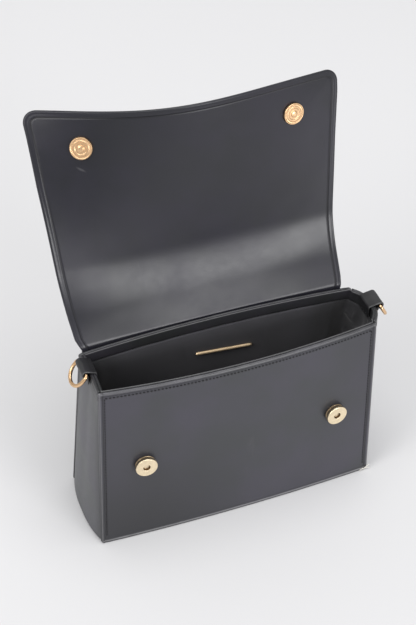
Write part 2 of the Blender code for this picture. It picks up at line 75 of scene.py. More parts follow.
class BodySizes(bpy.types.PropertyGroup):
    """The body's outline, walls and seams"""
    base_width: length("Base width", "Width at the floor", 0.2398)
    rim_width: length("Rim width", "Width at the rim", 0.2326)
    base_depth: length("Base depth", "Depth at the floor", 0.0756)
    rim_depth: length("Rim depth", "Depth at the rim's corners", 0.0474)
    height: length("Height", "Height of the rim", 0.1613)
    rim_shift: length("Rim shift", "How far back the rim's middle stands", -0.0040)
    front_bow_base: length("Front bow, base", "Bow of the front at the floor", 0.0035)
    front_bow_rim: length("Front bow, rim", "Bow of the front at the rim", 0.0087)
    back_bow_base: length("Back bow, base", "Bow of the back at the floor", 0.0020)
    back_bow_rim: length("Back bow, rim", "Bow of the back at the rim", 0.0057)
    corner_radius: length("Corner radius", "Round corners at the floor", 0.0035)
    rim_bulge_left: length("Left rim bulge", "Bulge of the left gusset's rim", -0.0010)
    rim_bulge_right: length("Right rim bulge", "Bulge of the right gusset's rim", 0.0086)
    belly_bulge: length("Belly bulge", "Bulge of the gussets lower down", 0.0040)
    gusset_inset: length("Gusset inset", "Gussets stand in from the panels' edges", 0.0006)
    panel_wall: length("Panel wall", "Thickness of the front and back", 0.0022)
    gusset_wall: length("Gusset wall", "Thickness of the gussets", 0.0018)
    base_wall: length("Base wall", "Thickness of the base", 0.0026)
    lining_wall: length("Lining wall", "Thickness of the lining", 0.0010)
    facing_wall: length("Facing wall", "Thickness of the facing", 0.0012)
    facing_height: length("Facing height", "Height of the facing", 0.0110)
    seam_gap: length("Seam gap", "Gap between neighbouring walls", 0.0003)
    base_end_gap: length("Base end gap", "Gap at the base's two ends", 0.0008)
    lining_slack: length("Lining slack", "Gap of the lining at the gussets", 0.0007)
    bead: length("Bead", "Width of the turned edge", 0.0034)
    rim_roll: length("Rim roll", "Height of the turned rim", 0.0032)
    fray: length("Fray", "Length of the loose thread ends", 0.0060)
    rim_dip: length("Rim dip", "How far the back rim drops at its ends", 0.0024)
    stitch_in: length("Stitch line", "Stitches from the edge", 0.0050)
    rim_stitch_in: length("Rim stitch line", "Stitches below the rim", 0.0054)


class FlapSizes(bpy.types.PropertyGroup):
    """The flap's outline, sweep and turned edge"""
    length: length("Length", "Free length from the hinge", 0.1833)
    hinge_width: length("Hinge width", "Width at the hinge", 0.2197)
    free_width: length("Free width", "Width at the free edge", 0.2426)
    side_shift: length("Side shift", "How far its middle stands to the side", -0.0027)
    corner_radius: length("Corner radius", "Round free corners", 0.0110)
    tail: length("Tail", "Length sewn to the back", 0.0240)
    sweep_left: length("Left sweep", "How far the left corner bends back", 0.0411)
    sweep_right: length("Right sweep", "How far the right corner bends back", 0.0028)
    sweep_skew: FloatProperty(name="Sweep skew", description="Share of cubic skew",
                              default=-0.04)
    middle_push: length("Middle push", "How far the free middle comes forward", 0.0157)
    push_skew: FloatProperty(name="Push skew", description="How much more on the left",
                             default=-1.08)
    flare: length("Flare", "How far the edges widen above the hinge", 0.0038)
    wall: length("Wall", "Thickness", 0.0022)
    hem: length("Hem", "Width of the turned edge", 0.0046)


class MetalSizes(bpy.types.PropertyGroup):
    """The snaps, rings, tabs and bar"""
    snap: length("Snap", "Diameter of a snap", 0.0180)
    spacing: length("Spacing", "Distance between the two snaps", 0.1640)
    stud_height: length("Stud height", "Height of the studs on the front", 0.0807)
    stud_shift: length("Stud shift", "Sideways shift of the studs", 0.0005)
    cap_shift: length("Cap shift", "Sideways shift of the caps", -0.0022)
    cap_from_edge: length("Cap from edge", "Caps from the free edge", 0.0274)
    stud_thick: length("Stud thickness", "How far a stud stands out", 0.0050)
    cap_thick: length("Cap thickness", "How far a cap stands out", 0.0020)
    ring_inside: length("Ring inside", "Inner width of a ring", 0.0180)
    ring_wire: length("Ring wire", "Diameter of its wire", 0.0025)
    ring_leg: length("Ring leg", "Straight leg of a ring", 0.0052)
    ring_corner: length("Ring corner", "Corner radius of a ring", 0.0025)
    ring_lean_left: FloatProperty(name="Left lean", description="Degrees below level",
                                  default=52.0)
    ring_lean_right: FloatProperty(name="Right lean", description="Degrees below level",
                                   default=60.0)
    tab_width: length("Tab width", "Width of a tab", 0.0172)
    tab_wall: length("Tab wall", "Thickness of a tab", 0.0013)
    tab_channel: length("Tab channel", "Radius of the loop round a ring", 0.0020)
    tab_drop: length("Tab drop", "How far a tab reaches below the rim", 0.0090)
    tab_back_left: length("Left tab", "How far behind the middle", 0.0062)
    tab_back_right: length("Right tab", "How far behind the middle", 0.0027)
    channel_up_left: length("Left channel", "Height above the rim", 0.0012)
    channel_up_right: length("Right channel", "Height above the rim", 0.0)
    bar_length: length("Bar length", "Length of the bar", 0.0490)
    bar_height: length("Bar height", "Height of the bar", 0.0026)


class Colours(bpy.types.PropertyGroup):
    """Linear colours of the finishes"""
    leather: colour("Leather", "Panels and tabs", (0.0345, 0.0345, 0.0425))
    flap: colour("Flap", "Darker leather of the flap", (0.0098, 0.0097, 0.0155))
    facing: colour("Facing", "Leather inside the rim", (0.024, 0.024, 0.027))
    gusset: colour("Gussets", "Softer leather of the gussets", (0.071, 0.0725, 0.079))
    # Also the colour of the panels' painted highlight lines
    worn: colour("Worn edge", "Leather where it is rubbed", (0.24, 0.24, 0.245))
    lining: colour("Lining", "Woven lining", (0.034, 0.033, 0.039))
    thread: colour("Thread", "Stitches", (0.005, 0.005, 0.006))
    gold: colour("Gold", "Caps and rings", (0.81, 0.54, 0.31))
    pale_gold: colour("Pale gold", "Studs on the front", (0.95, 0.80, 0.56))
    bar: colour("Bar", "Pale bar inside", (1.0, 0.76, 0.48))
    floor: colour("Floor", "Studio floor", (0.74, 0.74, 0.75))


class StageSettings(bpy.types.PropertyGroup):
    """Camera, light and density"""
    lens: FloatProperty(name="Lens", description="Focal length in mm", default=86.67)
    stitch: length("Stitch", "Distance from stitch to stitch", 0.0029)
    sides: IntProperty(name="Sides", description="Sides of a turned piece", default=72)


def settings(group):
    """One of the property groups on the scene."""
    return getattr(bpy.context.scene, "bag_" + group)


# Shader maths

class Value:
    """A node's output that takes part in Python expressions."""

    def __init__(self, finish, socket):
        self.finish = finish
        self.socket = socket

    def combine(self, operation, first, second=None):
        inputs = {0: first} if second is None else {0: first, 1: second}
        return self.finish.node("ShaderNodeMath", {"operation": operation}, inputs)

    def __add__(self, other):
        return self.combine("ADD", self, other)

    def __radd__(self, other):
        return self.combine("ADD", other, self)

    def __sub__(self, other):
        return self.combine("SUBTRACT", self, other)

    def __rsub__(self, other):
        return self.combine("SUBTRACT", other, self)

    def __mul__(self, other):
        return self.combine("MULTIPLY", self, other)

    def __rmul__(self, other):
        return self.combine("MULTIPLY", other, self)

    def sine(self):
        return self.combine("SINE", self)

    def root(self):
        return self.combine("SQRT", self)

    def within(self, low, high):
        """0 below low, 1 above high and an S between."""
        return self.finish.node("ShaderNodeMapRange", {"interpolation_type": "SMOOTHSTEP"},
                                {"Value": self, "From Min": low, "From Max": high})


class Finish:
    """A Principled material and the nodes that feed it."""

    def __init__(self, name, **constants):
        self.material = bpy.data.materials.new(name)
        self.material.use_nodes = True
        self.tree = self.material.node_tree
        self.shader = self.tree.nodes["Principled BSDF"]
        for key, value in constants.items():
            socket = self.shader.inputs[key.replace("_", " ")]
            vector = socket.type == "RGBA" and len(value) == 3
            socket.default_value = (*value, 1.0) if vector else value

    def node(self, kind, options=None, inputs=None, output=0):
        """Any node: its settings first, then the values or links of its sockets."""
        node = self.tree.nodes.new(kind)
        for key, value in (options or {}).items():
            setattr(node, key, value)
        for key, value in (inputs or {}).items():
            if isinstance(value, Value):
                self.tree.links.new(value.socket, node.inputs[key])
            else:
                node.inputs[key].default_value = value
        return Value(self, node.outputs[output])

    def attribute(self, name):
        """A number stored on the mesh."""
        return self.node("ShaderNodeAttribute", {"attribute_name": name}, output="Fac")

    def place(self, scale=(1.0, 1.0, 1.0), source="Object"):
        """The object's own coordinates, stretched by a scale."""
        coordinates = self.node("ShaderNodeTexCoord", output=source)
        return self.node("ShaderNodeVectorMath", {"operation": "MULTIPLY"},
                         {0: coordinates, 1: scale})

    def axes(self, vector, count=2):
        """The first of a vector's X, Y and Z."""
        return [self.node("ShaderNodeSeparateXYZ", {}, {0: vector}, axis)
                for axis in range(count)]

    def noise(self, scale, detail=3.0, place=None, roughness=0.55):
        """Soft noise from 0 to 1."""
        where = place or self.place()
        return self.node("ShaderNodeTexNoise", {}, {
            "Vector": where, "Scale": scale, "Detail": detail, "Roughness": roughness})

    def blend(self, factor, first, second):
        """A colour between two colours."""
        pair = [(*value, 1.0) if isinstance(value, tuple) else value
                for value in (first, second)]
        return self.node("ShaderNodeMix", {"data_type": "RGBA"},
                         {0: factor, 6: pair[0], 7: pair[1]}, output=2)

    def streak(self, middle, shrink, turn):
        """1 on a short streak around a point, 0 away from it."""
        where = self.node("ShaderNodeTexCoord", output="Object")
        away = self.node("ShaderNodeVectorMath", {"operation": "SUBTRACT"},
                         {0: where, 1: middle})
        level = self.node("ShaderNodeVectorRotate", {"rotation_type": "Y_AXIS"},
                          {"Vector": away, "Angle": turn})
        near = self.node("ShaderNodeVectorMath", {"operation": "MULTIPLY"},
                         {0: level, 1: shrink})
        far = self.node("ShaderNodeVectorMath", {"operation": "LENGTH"}, {0: near}, 1)
        return 1 - far.within(0.3, 1.0)

    def bump(self, height, distance, strength=1.0, under=None):
        """A normal from a height, over another normal."""
        inputs = {"Height": height, "Distance": distance, "Strength": strength}
        if under is not None:
            inputs["Normal"] = under
        return self.node("ShaderNodeBump", {}, inputs)

    def feed(self, **links):
        """Links what varies to the shader's own sockets."""
        for key, value in links.items():
            self.tree.links.new(value.socket, self.shader.inputs[key.replace("_", " ")])
        return self.material


FINISHES = {}


def finish(name):
    """A finish by name, made the first time it is asked for."""
    if name not in FINISHES:
        maker, *values = MAKERS[name]
        FINISHES[name] = maker(name, *values)
    return FINISHES[name]


def tint_of(name):
    """A colour that the user set."""
    return tuple(getattr(settings("colours"), name))


def toned(tint, share):
    """A darker or lighter tone of a colour."""
    return tuple(share * value for value in tint)


# Pattern scales per metre
MOTTLE_SCALE = 160.0
PORE_CELLS = 1150.0
PORE_SCALE = 3200.0
SCUFF_SCALE = 70.0
WEAVE_SCALE = 5200.0
TWIST_SCALE = 9000.0
FUZZ_SCALE = 2600.0
TARNISH_SCALE = 260.0

# A short pale scratch on the flap: middle, how far distances along each axis count, turn
FLAP_SCUFF = ((-0.0895, 0.0880, 0.2850), (210.0, 60.0, 800.0), -0.45)


def leather(name, tint, roughness, cloud_scale, grain, wear=0.35, gloss=0.62, scuff=None):
    """Smooth leather: cloudy tone, fine grain, faint scuffs, rubbed edges, dark seams with
    painted shadow, painted shade and painted highlight lines.
    """
    skin = Finish(name, Specular_IOR_Level=gloss)
    tint, worn = tint_of(tint), tint_of("worn")
    cloud = skin.noise(cloud_scale, 4.0)
    mottle = skin.noise(MOTTLE_SCALE)
    cells = skin.node("ShaderNodeTexVoronoi", {"feature": "F1"},
                      {"Vector": skin.place(), "Scale": PORE_CELLS})
    pores = skin.noise(PORE_SCALE, 2.0)
    upright = skin.place((1.0, 1.0, 0.16))
    scuffs = skin.noise(SCUFF_SCALE, 5.0, upright, 0.62).within(0.66, 0.80)
    edge = skin.attribute("edge")
    rub = skin.attribute("rub")
    rubbed = (1 - edge.within(0.10, 0.95)) * (0.25 + 0.75 * mottle)
    seam = skin.attribute("seam")
    shade = skin.attribute("shade")
    dark = (0.88 * tint[0], 0.93 * tint[1], 0.86 * tint[2])
    light = (1.13 * tint[0], 1.06 * tint[1], 1.20 * tint[2])
    tone = skin.blend(cloud.within(0.30, 0.72), dark, light)
    tone = skin.blend(scuffs * 0.10, tone, worn)
    tone = skin.blend(rubbed * wear, tone, worn)
    # Dark seam lines, with painted shadow under the panels' bottom bend
    tone = skin.blend(seam * 0.85, tone, toned(tint, 0.12))
    # Painted shade: darker where the shade attribute is set
    tone = skin.blend(shade, tone, toned(tint, 0.45))
    # Painted highlight: light lines along the panels' edges, varied by the mottle
    tone = skin.blend(rub * (0.4 + 0.6 * mottle), tone, worn)
    if scuff:
        tone = skin.blend(skin.streak(*scuff) * 0.16, tone, worn)
    shine = roughness + (cloud - 0.5) * 0.16 + (mottle - 0.5) * 0.08 + scuffs * 0.10
    height = cells * 0.7 + pores * 0.5
    normal = skin.bump(height, 0.00006, grain)
    normal = skin.bump(mottle, 0.0004, 0.06, normal)
    return skin.feed(Base_Color=tone, Roughness=shine + seam * 0.2, Normal=normal)


def woven_lining(name, tint):
    """Plain woven lining: crossing threads, soft sheen, tone that drifts and painted shade."""
    cloth = Finish(name, Sheen_Weight=0.25, Sheen_Roughness=0.5)
    tint = tint_of(tint)
    warp, weft = cloth.axes(cloth.place((WEAVE_SCALE, WEAVE_SCALE, 1.0), "UV"))
    weave = warp.sine() * weft.sine() * 0.5 + 0.5
    drift = cloth.noise(30.0, 4.0)
    slub = cloth.noise(1.0, 2.0, cloth.place((90.0, 1400.0, 1.0), "UV"))
    tone = cloth.blend(weave * 0.5 + slub * 0.5, tint, toned(tint, 1.7))
    tone = cloth.blend(drift.within(0.35, 0.7) * 0.5, tone, toned(tint, 2.0))
    # Painted shade: darker where the shade attribute is set
    tone = cloth.blend(cloth.attribute("shade") * 0.85, tone, toned(tint, 0.3))
    rough = 0.80 + (drift - 0.5) * 0.2
    return cloth.feed(Base_Color=tone, Roughness=rough,
                      Normal=cloth.bump(weave + slub, 0.00012, 0.5))


def waxed_thread(name, tint):
    """Dark twisted thread."""
    thread = Finish(name)
    tint = tint_of(tint)
    twist = thread.axes(thread.place((TWIST_SCALE,) * 3), 1)[0].sine()
    fuzz = thread.noise(FUZZ_SCALE)
    tone = thread.blend(fuzz, tint, toned(tint, 2.4))
    return thread.feed(Base_Color=tone, Roughness=0.55 + fuzz * 0.2,
                       Normal=thread.bump(twist * 0.5 + fuzz, 0.0001, 0.5))


def pale_thread(name):
    """Loose undyed core thread."""
    thread = Finish(name)
    fuzz = thread.noise(FUZZ_SCALE)
    tone = thread.blend(fuzz, (0.62, 0.59, 0.54), (0.88, 0.86, 0.80))
    return thread.feed(Base_Color=tone, Roughness=0.6 + fuzz * 0.2,
                       Normal=thread.bump(fuzz, 0.0001, 0.4))


def plated(name, tint, roughness, rings, metallic=1.0, ticks=0.0):
    """Plated metal: turning marks, scratches, duller spots, notches near the edge and painted
    shade.
    """
    metal = Finish(name, Metallic=metallic)
    tint = tint_of(tint)
    x, y = metal.axes(metal.place())
    radius = (x * x + y * y).root()
    turning = (radius * rings).sine() * 0.5 + 0.5
    tarnish = metal.noise(TARNISH_SCALE, 4.0)
    scratch = metal.noise(1.0, 3.0, metal.place((2400.0, 160.0, 900.0))).within(0.60, 0.78)
    dull = toned(tint, 0.62)
    tone = metal.blend(tarnish.within(0.35, 0.70) * 0.30, tint, dull)
    # Painted shade: dark brown where the shade attribute is set
    tone = metal.blend(metal.attribute("shade"), tone,
                       (0.16 * tint[0], 0.12 * tint[1], 0.09 * tint[2]))
    rough = roughness + tarnish * 0.12 + scratch * 0.12 + turning * 0.05
    if ticks:
        angle = y.combine("ARCTAN2", y, x)
        band = radius.within(0.0063, 0.0066) * (1 - radius.within(0.0074, 0.0077))
        notches = (angle * ticks).sine() * band
        tone = metal.blend((notches * 0.5 + 0.5) * band * 0.5, tone, dull)
        turning = turning + notches * 6.0
    normal = metal.bump(turning + scratch * 0.5, 0.00003, 0.35)
    normal = metal.bump(metal.noise(420.0, 2.0), 0.00025, 0.30, normal)
    return metal.feed(Base_Color=tone, Roughness=rough, Normal=normal)


# How much X and Y count for the distance from the camera's side of the floor, which sets its
# painted shade
FLOOR_AWAY = (0.39, 0.92)


def floor_paint(name, tint):
    """Matt pale floor with painted shade: a little darker near the camera."""
    paint = Finish(name, Specular_IOR_Level=0.2)
    tint = tint_of(tint)
    drift = paint.noise(1.6, 2.0)
    across, back = paint.axes(paint.place())
    away = across * FLOOR_AWAY[0] + back * FLOOR_AWAY[1]
    tone = paint.blend(away.within(-0.35, 0.9), toned(tint, 0.92), toned(tint, 1.06))
    tone = paint.blend(drift * 0.3, tone, toned(tint, 0.96))
    return paint.feed(Base_Color=tone, Roughness=0.62 + drift * 0.05)


# Finish: the function that makes it, its colour and the function's other values
MAKERS = {
    "panel_leather": (leather, "leather", 0.40, 16.0, 0.30),
    "flap_leather": (leather, "flap", 0.34, 22.0, 0.40, 0.06, 0.48, FLAP_SCUFF),
    "gusset_leather": (leather, "gusset", 0.45, 26.0, 0.30, 0.08),
    "facing_leather": (leather, "facing", 0.44, 30.0, 0.35),
    "woven_lining": (woven_lining, "lining"),
    "waxed_thread": (waxed_thread, "thread"),
    "pale_thread": (pale_thread,),
    "cap_gold": (plated, "gold", 0.25, 16000.0, 1.0, 44.0),
    "stud_gold": (plated, "pale_gold", 0.26, 13000.0),
    "ring_gold": (plated, "gold", 0.14, 9000.0),
    "bar_gold": (plated, "bar", 0.24, 9000.0, 0.85),
    "floor_paint": (floor_paint, "floor"),
}


# The bag's form

# Height share, share of the rim's bulge, share of the belly's bulge
GUSSET_TABLE = (
    (0.00, 0.00, 1.30),
    (0.12, 0.00, 1.15),
    (0.45, 0.15, 0.90),
    (0.80, 0.60, 0.45),
    (1.00, 1.00, 0.00),
)
# How flat the middle of a bulge is
BULGE_POWER = 2.6
# A leaning, bowed wall takes up this much more than its thickness along Y
SLOPE_ALLOWANCE = 1.03

# Share of the flap's free length, lean back from upright in degrees
FLAP_TABLE = (
    (0.00, -6.5),
    (0.03, 38.6),
    (0.15, 40.0),
    (0.31, 24.4),
    (0.36, 13.8),
    (0.60, 14.4),
    (1.00, 14.3),
)
# Share of the free length, shares of the flare that widen its left and right edge
FLARE_TABLE = (
    (0.00, 0.00, 0.00),
    (0.06, 0.90, 0.22),
    (0.15, 1.00, 0.16),
    (0.40, 0.90, -0.11),
    (0.70, 0.64, -0.03),
    (0.90, 0.11, 0.22),
    (1.00, 0.00, 0.00),
)
# Steps that the flap's curve is summed in
PATH_STEPS = 400
# Slopes are taken between points this far to both sides
PROBE = 0.001


def mix(first, last, share):
    """The value at a share of the way from first to last."""
    return first + (last - first) * share


def smooth(value, low, high):
    """0 below low, 1 above high and an S between."""
    share = np.clip((value - low) / (high - low), 0.0, 1.0)
    return share * share * (3 - 2 * share)


def read_table(table, share, column):
    """A table's column at a share, on straight lines between its rows."""
    return float(np.interp(share, [row[0] for row in table],
                           [row[column] for row in table]))


class Form:
    """The outer faces of the body and the inner face of the flap."""

    def __init__(self):
        self.body = settings("body")
        self.flap = settings("flap")
        self.metal = settings("metal")
        self.path = self.flap_path()

    def half_width(self, height):
        body = self.body
        return mix(body.base_width, body.rim_width, height / body.height) / 2

    def wall_y(self, x, height, side):
        """The outer face of the front (side -1) or back (side 1)."""
        body = self.body
        rise = height / body.height
        bows = {-1: (body.front_bow_base, body.front_bow_rim),
                1: (body.back_bow_base, body.back_bow_rim)}[side]
        bow = mix(*bows, rise) * (1 - (x / self.half_width(height)) ** 2)
        depth = mix(body.base_depth, body.rim_depth, rise) / 2
        return body.rim_shift * rise + side * (depth + bow)

    def corner_inset(self, height, radius=None):
        """How far a rounded base corner stands in at a height."""
        corner = self.body.corner_radius
        radius = corner if radius is None else radius
        if height >= corner:
            return corner - radius
        drop = corner - height
        return corner - math.sqrt(max(radius**2 - drop**2, 0.0))

    def gusset_bulge(self, height, side):
        body = self.body
        rise = height / body.height
        at_rim = body.rim_bulge_left if side < 0 else body.rim_bulge_right
        return (at_rim * read_table(GUSSET_TABLE, rise, 1)
                + body.belly_bulge * read_table(GUSSET_TABLE, rise, 2))

    def gusset_ends(self, height):
        edge = self.half_width(height) - self.corner_inset(height) - self.body.gusset_inset
        behind = self.body.panel_wall * SLOPE_ALLOWANCE + self.body.seam_gap
        return self.wall_y(edge, height, -1) + behind, self.wall_y(edge, height, 1) - behind

    def gusset_point(self, share, height, side):
        """A gusset's outer face as outward distance and Y, share 0 in front."""
        front, back = self.gusset_ends(height)
        across = 1 - abs(2 * share - 1) ** BULGE_POWER
        edge = self.half_width(height) - self.corner_inset(height) - self.body.gusset_inset
        return edge + self.gusset_bulge(height, side) * across, mix(front, back, share)

    def gusset_inside(self, share, height, side, depth):
        """A point a depth inside the gusset's outer face, square to it."""
        step = 0.01
        low = self.gusset_point(max(share - step, 0.0), height, side)
        high = self.gusset_point(min(share + step, 1.0), height, side)
        along = Vector((high[0] - low[0], high[1] - low[1])).normalized()
        out, y = self.gusset_point(share, height, side)
        shrink = 0.0
        corner = self.body.corner_radius
        if height < corner:
            inner = self.corner_inset(height, corner - depth)
            shrink = max(inner - self.corner_inset(height) - depth, 0.0)
        return out - depth * along.y - shrink, y + depth * along.x

    def body_loop(self, height, depth, columns, ends):
        """Points of a loop that runs round inside the four walls."""
        body = self.body
        wall = body.panel_wall * SLOPE_ALLOWANCE + body.seam_gap + depth
        side_wall = body.gusset_wall + body.lining_slack + depth
        sides = {sign: [self.gusset_inside(step / ends, height, sign, side_wall)
                        for step in range(ends + 1)] for sign in (-1, 1)}
        loop = []
        low, high = -sides[-1][0][0], sides[1][0][0]
        for step in range(columns + 1):
            x = mix(low, high, step / columns)
            loop.append((x, self.wall_y(x, height, -1) + wall, height))
        loop += [(out, y, height) for out, y in sides[1][1:-1]]
        low, high = -sides[-1][-1][0], sides[1][-1][0]
        for step in range(columns + 1):
            x = mix(high, low, step / columns)
            loop.append((x, self.wall_y(x, height, 1) - wall, height))
        loop += [(-out, y, height) for out, y in reversed(sides[-1][1:-1])]
        return np.array(loop)

    def back_lean(self):
        """The back panel's lean in degrees."""
        body = self.body
        shift = (body.rim_depth - body.base_depth) / 2 + body.rim_shift
        return math.degrees(math.atan2(shift, body.height))

    def flap_path(self):
        """Lean, run back and rise of the flap at even steps from its hinge."""
        table = ((0.0, self.back_lean()),) + FLAP_TABLE[1:]
        leans = np.radians(np.interp(np.linspace(0, 1, PATH_STEPS + 1),
                                     [row[0] for row in table], [row[1] for row in table]))
        piece = self.flap.length / PATH_STEPS
        run = np.concatenate(([0.0], np.cumsum(np.sin(leans[:-1]) * piece)))
        rise = np.concatenate(([0.0], np.cumsum(np.cos(leans[:-1]) * piece)))
        return leans, run, rise

    def flap_width(self, share):
        return mix(self.flap.hinge_width, self.flap.free_width, share)

    def flap_face(self, across, along):
        """A point of the flap's inner face and the direction to its outer face."""
        side, rise = (np.subtract(self.flap_point(across + right, along + up),
                                  self.flap_point(across - right, along - up))
                      for right, up in ((PROBE, 0.0), (0.0, PROBE)))
        way = -np.cross(side, rise)
        return np.array(self.flap_point(across, along)), way / np.linalg.norm(way)

    def flap_point(self, across, along):
        """A point of the flap's inner face, across from -1 to 1, along in metres."""
        flap, body = self.flap, self.body
        share = min(max(along / flap.length, 0.0), 1.0)
        x = flap.side_shift + across * self.flap_width(share) / 2
        x += flap.flare * read_table(FLARE_TABLE, share, 2) * max(across, 0.0) ** 2
        x -= flap.flare * read_table(FLARE_TABLE, share, 1) * min(across, 0.0) ** 2
        if along <= 0.0:
            height = body.height + along * math.cos(math.radians(self.back_lean()))
            return (x, self.wall_y(x, height, 1) + body.seam_gap, height)
        steps = np.linspace(0.0, 1.0, PATH_STEPS + 1)
        lean, run, rise = (float(np.interp(share, steps, column)) for column in self.path)
        mean = (flap.sweep_left + flap.sweep_right) / 2
        tilt = (flap.sweep_right - flap.sweep_left) / 2
        sweep = mean * across**2 + tilt * mix(across, across**3, flap.sweep_skew)
        sweep -= flap.middle_push * (1 - across**2) ** 2 * (1 + flap.push_skew * across)
        corner_y = self.wall_y(body.rim_width / 2, body.height, 1)
        hinge = self.wall_y(x, body.height, 1) - corner_y
        out = share**2 * sweep + (1 - share) ** 2 * hinge
        start = -hinge * math.sin(math.radians(self.back_lean()))
        return (x, corner_y + body.seam_gap + run + out * math.cos(lean),
                body.height + rise - out * math.sin(lean) - start * (1 - share) ** 2)


# Mesh building

# Millimetres from an edge, for points that no edge is near
FAR_FROM_EDGE = 20.0


def add_mesh(name, vertices, faces, finish_name, attributes=None, uvs=None):
    """A smooth mesh object with numbers and flat coordinates stored on it."""
    mesh = bpy.data.meshes.new(name)
    mesh.from_pydata([tuple(point) for point in vertices], [], faces)
    mesh.update()
    mesh.shade_smooth()
    for key, values in (attributes or {}).items():
        layer = mesh.attributes.new(key, "FLOAT", "POINT")
        layer.data.foreach_set("value", np.asarray(values, dtype=np.float32))
    if uvs is not None:
        layer = mesh.uv_layers.new(name="flat")
        corners = np.empty(len(mesh.loops), dtype=np.int32)
        mesh.loops.foreach_get("vertex_index", corners)
        layer.data.foreach_set("uv", np.asarray(uvs, dtype=np.float32)[corners].ravel())
    mesh.materials.append(finish(finish_name))
    piece = bpy.data.objects.new(name, mesh)
    bpy.context.scene.collection.objects.link(piece)
    return piece


def grid_normals(points):
    """Outward directions of a grid of points, rows first."""
    across = np.gradient(points, axis=1)
    up = np.gradient(points, axis=0)
    normal = np.cross(across, up)
    size = np.linalg.norm(normal, axis=2, keepdims=True)
    return normal / np.maximum(size, 1e-12)


def run_lengths(points, axis):
    """Distance run along a grid's rows or columns from their start."""
    steps = np.linalg.norm(np.diff(points, axis=axis), axis=2)
    pad = [(0, 0), (0, 0)]
    pad[axis] = (1, 0)
    return np.cumsum(np.pad(steps, pad), axis=axis)


def from_ends(run, axis):
    """Distance from the nearer end of a grid's columns (axis 0) or rows (axis 1)."""
    last = run[:, -1:] if axis else run[-1:]
    return np.minimum(run, last - run)


def round_marks(radius, steps):
    """Distances from an edge at which its round corner is cut."""
    return [radius * (1 - math.cos(math.radians(90 * step / steps))) for step in range(steps)]


def merged(*rows):
    """All values of some rows, rising."""
    return np.array(sorted({value for row in rows for value in row}))


def marks(full, wall, fine, reach, coarse):
    """Shares along a side: close together near its ends, wide between."""
    near = round_marks(wall / 2, 5) + list(np.arange(wall / 2, reach, fine))
    middle = np.linspace(reach, full - reach, max(int((full - 2 * reach) / coarse), 2))
    return merged(near, middle, [full - value for value in near]) / full


def circle(sides):
    """Cosine and sine of even turns all round."""
    turns = [2 * math.pi * step / sides for step in range(sides)]
    return [(math.cos(turn), math.sin(turn)) for turn in turns]


def arc(x, y, radius, first, last, steps, start=0):
    """Points round a middle from one angle in degrees to another."""
    turns = [math.radians(mix(first, last, step / steps)) for step in range(start, steps + 1)]
    return [(x + radius * math.cos(turn), y + radius * math.sin(turn)) for turn in turns]


def ring_faces(rings, sides, closed=False, capped=True, flip=False):
    """Faces between rings of points; the two ends are capped or meet."""
    faces = []
    for ring in range(rings if closed else rings - 1):
        low, high = ring * sides, (ring + 1) % rings * sides
        for step in range(sides):
            after = (step + 1) % sides
            faces.append((low + step, low + after, high + after, high + step))
    if capped and not closed:
        faces.append(tuple(reversed(range(sides))))
        faces.append(tuple(range((rings - 1) * sides, rings * sides)))
    return [tuple(reversed(face)) for face in faces] if flip else faces


def rounded_least(first, second, radius):
    """The distance to the nearer of two borders that meet in a round corner."""
    least = np.minimum(first, second)
    inside = (first < radius) & (second < radius)
    away = np.hypot(radius - first, radius - second)
    return np.where(inside, radius - away, least)


def hide(name, points, wall, border, relief, finish_name, seam, back=0.0, shade=0.0, rub=0.0):
    """A closed leather sheet with round edges from the points of its outer face."""
    rows, columns = points.shape[:2]
    normal = grid_normals(points)
    half = wall / 2
    tuck = half - np.sqrt(np.maximum(half**2 - (half - np.minimum(border, half)) ** 2, 0.0))
    outer = points + normal * (relief - tuck)[..., None]
    inner = points - normal * (wall - tuck + back)[..., None]
    rim = np.zeros((rows, columns), dtype=bool)
    rim[0], rim[-1], rim[:, 0], rim[:, -1] = True, True, True, True
    outer[rim] = (points - normal * half)[rim]
    front = np.arange(rows * columns).reshape(rows, columns)
    behind = front.copy()
    inside = ~rim
    behind[inside] = rows * columns + np.arange(int(inside.sum()))
    vertices = np.concatenate((outer.reshape(-1, 3), inner[inside]))
    faces = []
    for row in range(rows - 1):
        for column in range(columns - 1):
            here = (row, column), (row, column + 1), (row + 1, column + 1), (row + 1, column)
            faces.append(tuple(int(front[place]) for place in here))
            faces.append(tuple(int(behind[place]) for place in reversed(here)))
    flat = np.stack((run_lengths(points, 1), run_lengths(points, 0)), axis=2)

    def both(values):
        return np.concatenate((values.reshape(-1, *values.shape[2:]), values[inside]))

    # Stored for the finish: distance to the edge, seam lines with painted shadow, painted shade
    # and painted highlight
    stored = {key: both(values + np.zeros_like(border)) for key, values in
              (("edge", border * 1000), ("seam", seam), ("shade", shade), ("rub", rub))}
    return add_mesh(name, vertices, faces, finish_name, stored, both(flat))


def dome(distance, width, height):
    """A rounded bead along a border."""
    share = np.clip(distance / width, 0.0, 1.0)
    return height * 4 * share * (1 - share)


def line_mask(distance, middle, width):
    """How near a point is to a line at a distance from a border, 0 to 1."""
    return np.exp(-(((distance - middle) / width) ** 2))


def strongest(*lines):
    """The strongest of some lines: strength, distances, middle and width of each."""
    return np.maximum.reduce([strength * line_mask(*line) for strength, *line in lines])


def grooves(relief, *lines):
    """Relief with soft grooves in it: depth, distances, middle and width of each."""
    for depth, *line in lines:
        relief = relief - depth * line_mask(*line)
    return relief


def wander(points, scale, seed):
    """Slow noise over a grid of points, about -1 to 1."""
    offset = Vector((seed * 7.3, seed * 3.1, seed * 5.7))
    flat = points.reshape(-1, 3)
    values = [noise.noise(Vector(point) * scale + offset) for point in flat]
    return np.array(values).reshape(points.shape[:2])


def loop_noise(loop, height, scale):
    """Noise along a loop of points, with a scale for each axis."""
    return np.array([noise.noise(Vector((x * scale[0], y * scale[1], height * scale[2])))
                     for x, y, _ in loop])


def dress(piece, body, *nodes, slot=None):
    """Attaches a piece to its body and lets it stand for CAD nodes."""
    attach(piece, body)
    if nodes:
        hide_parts(*nodes)


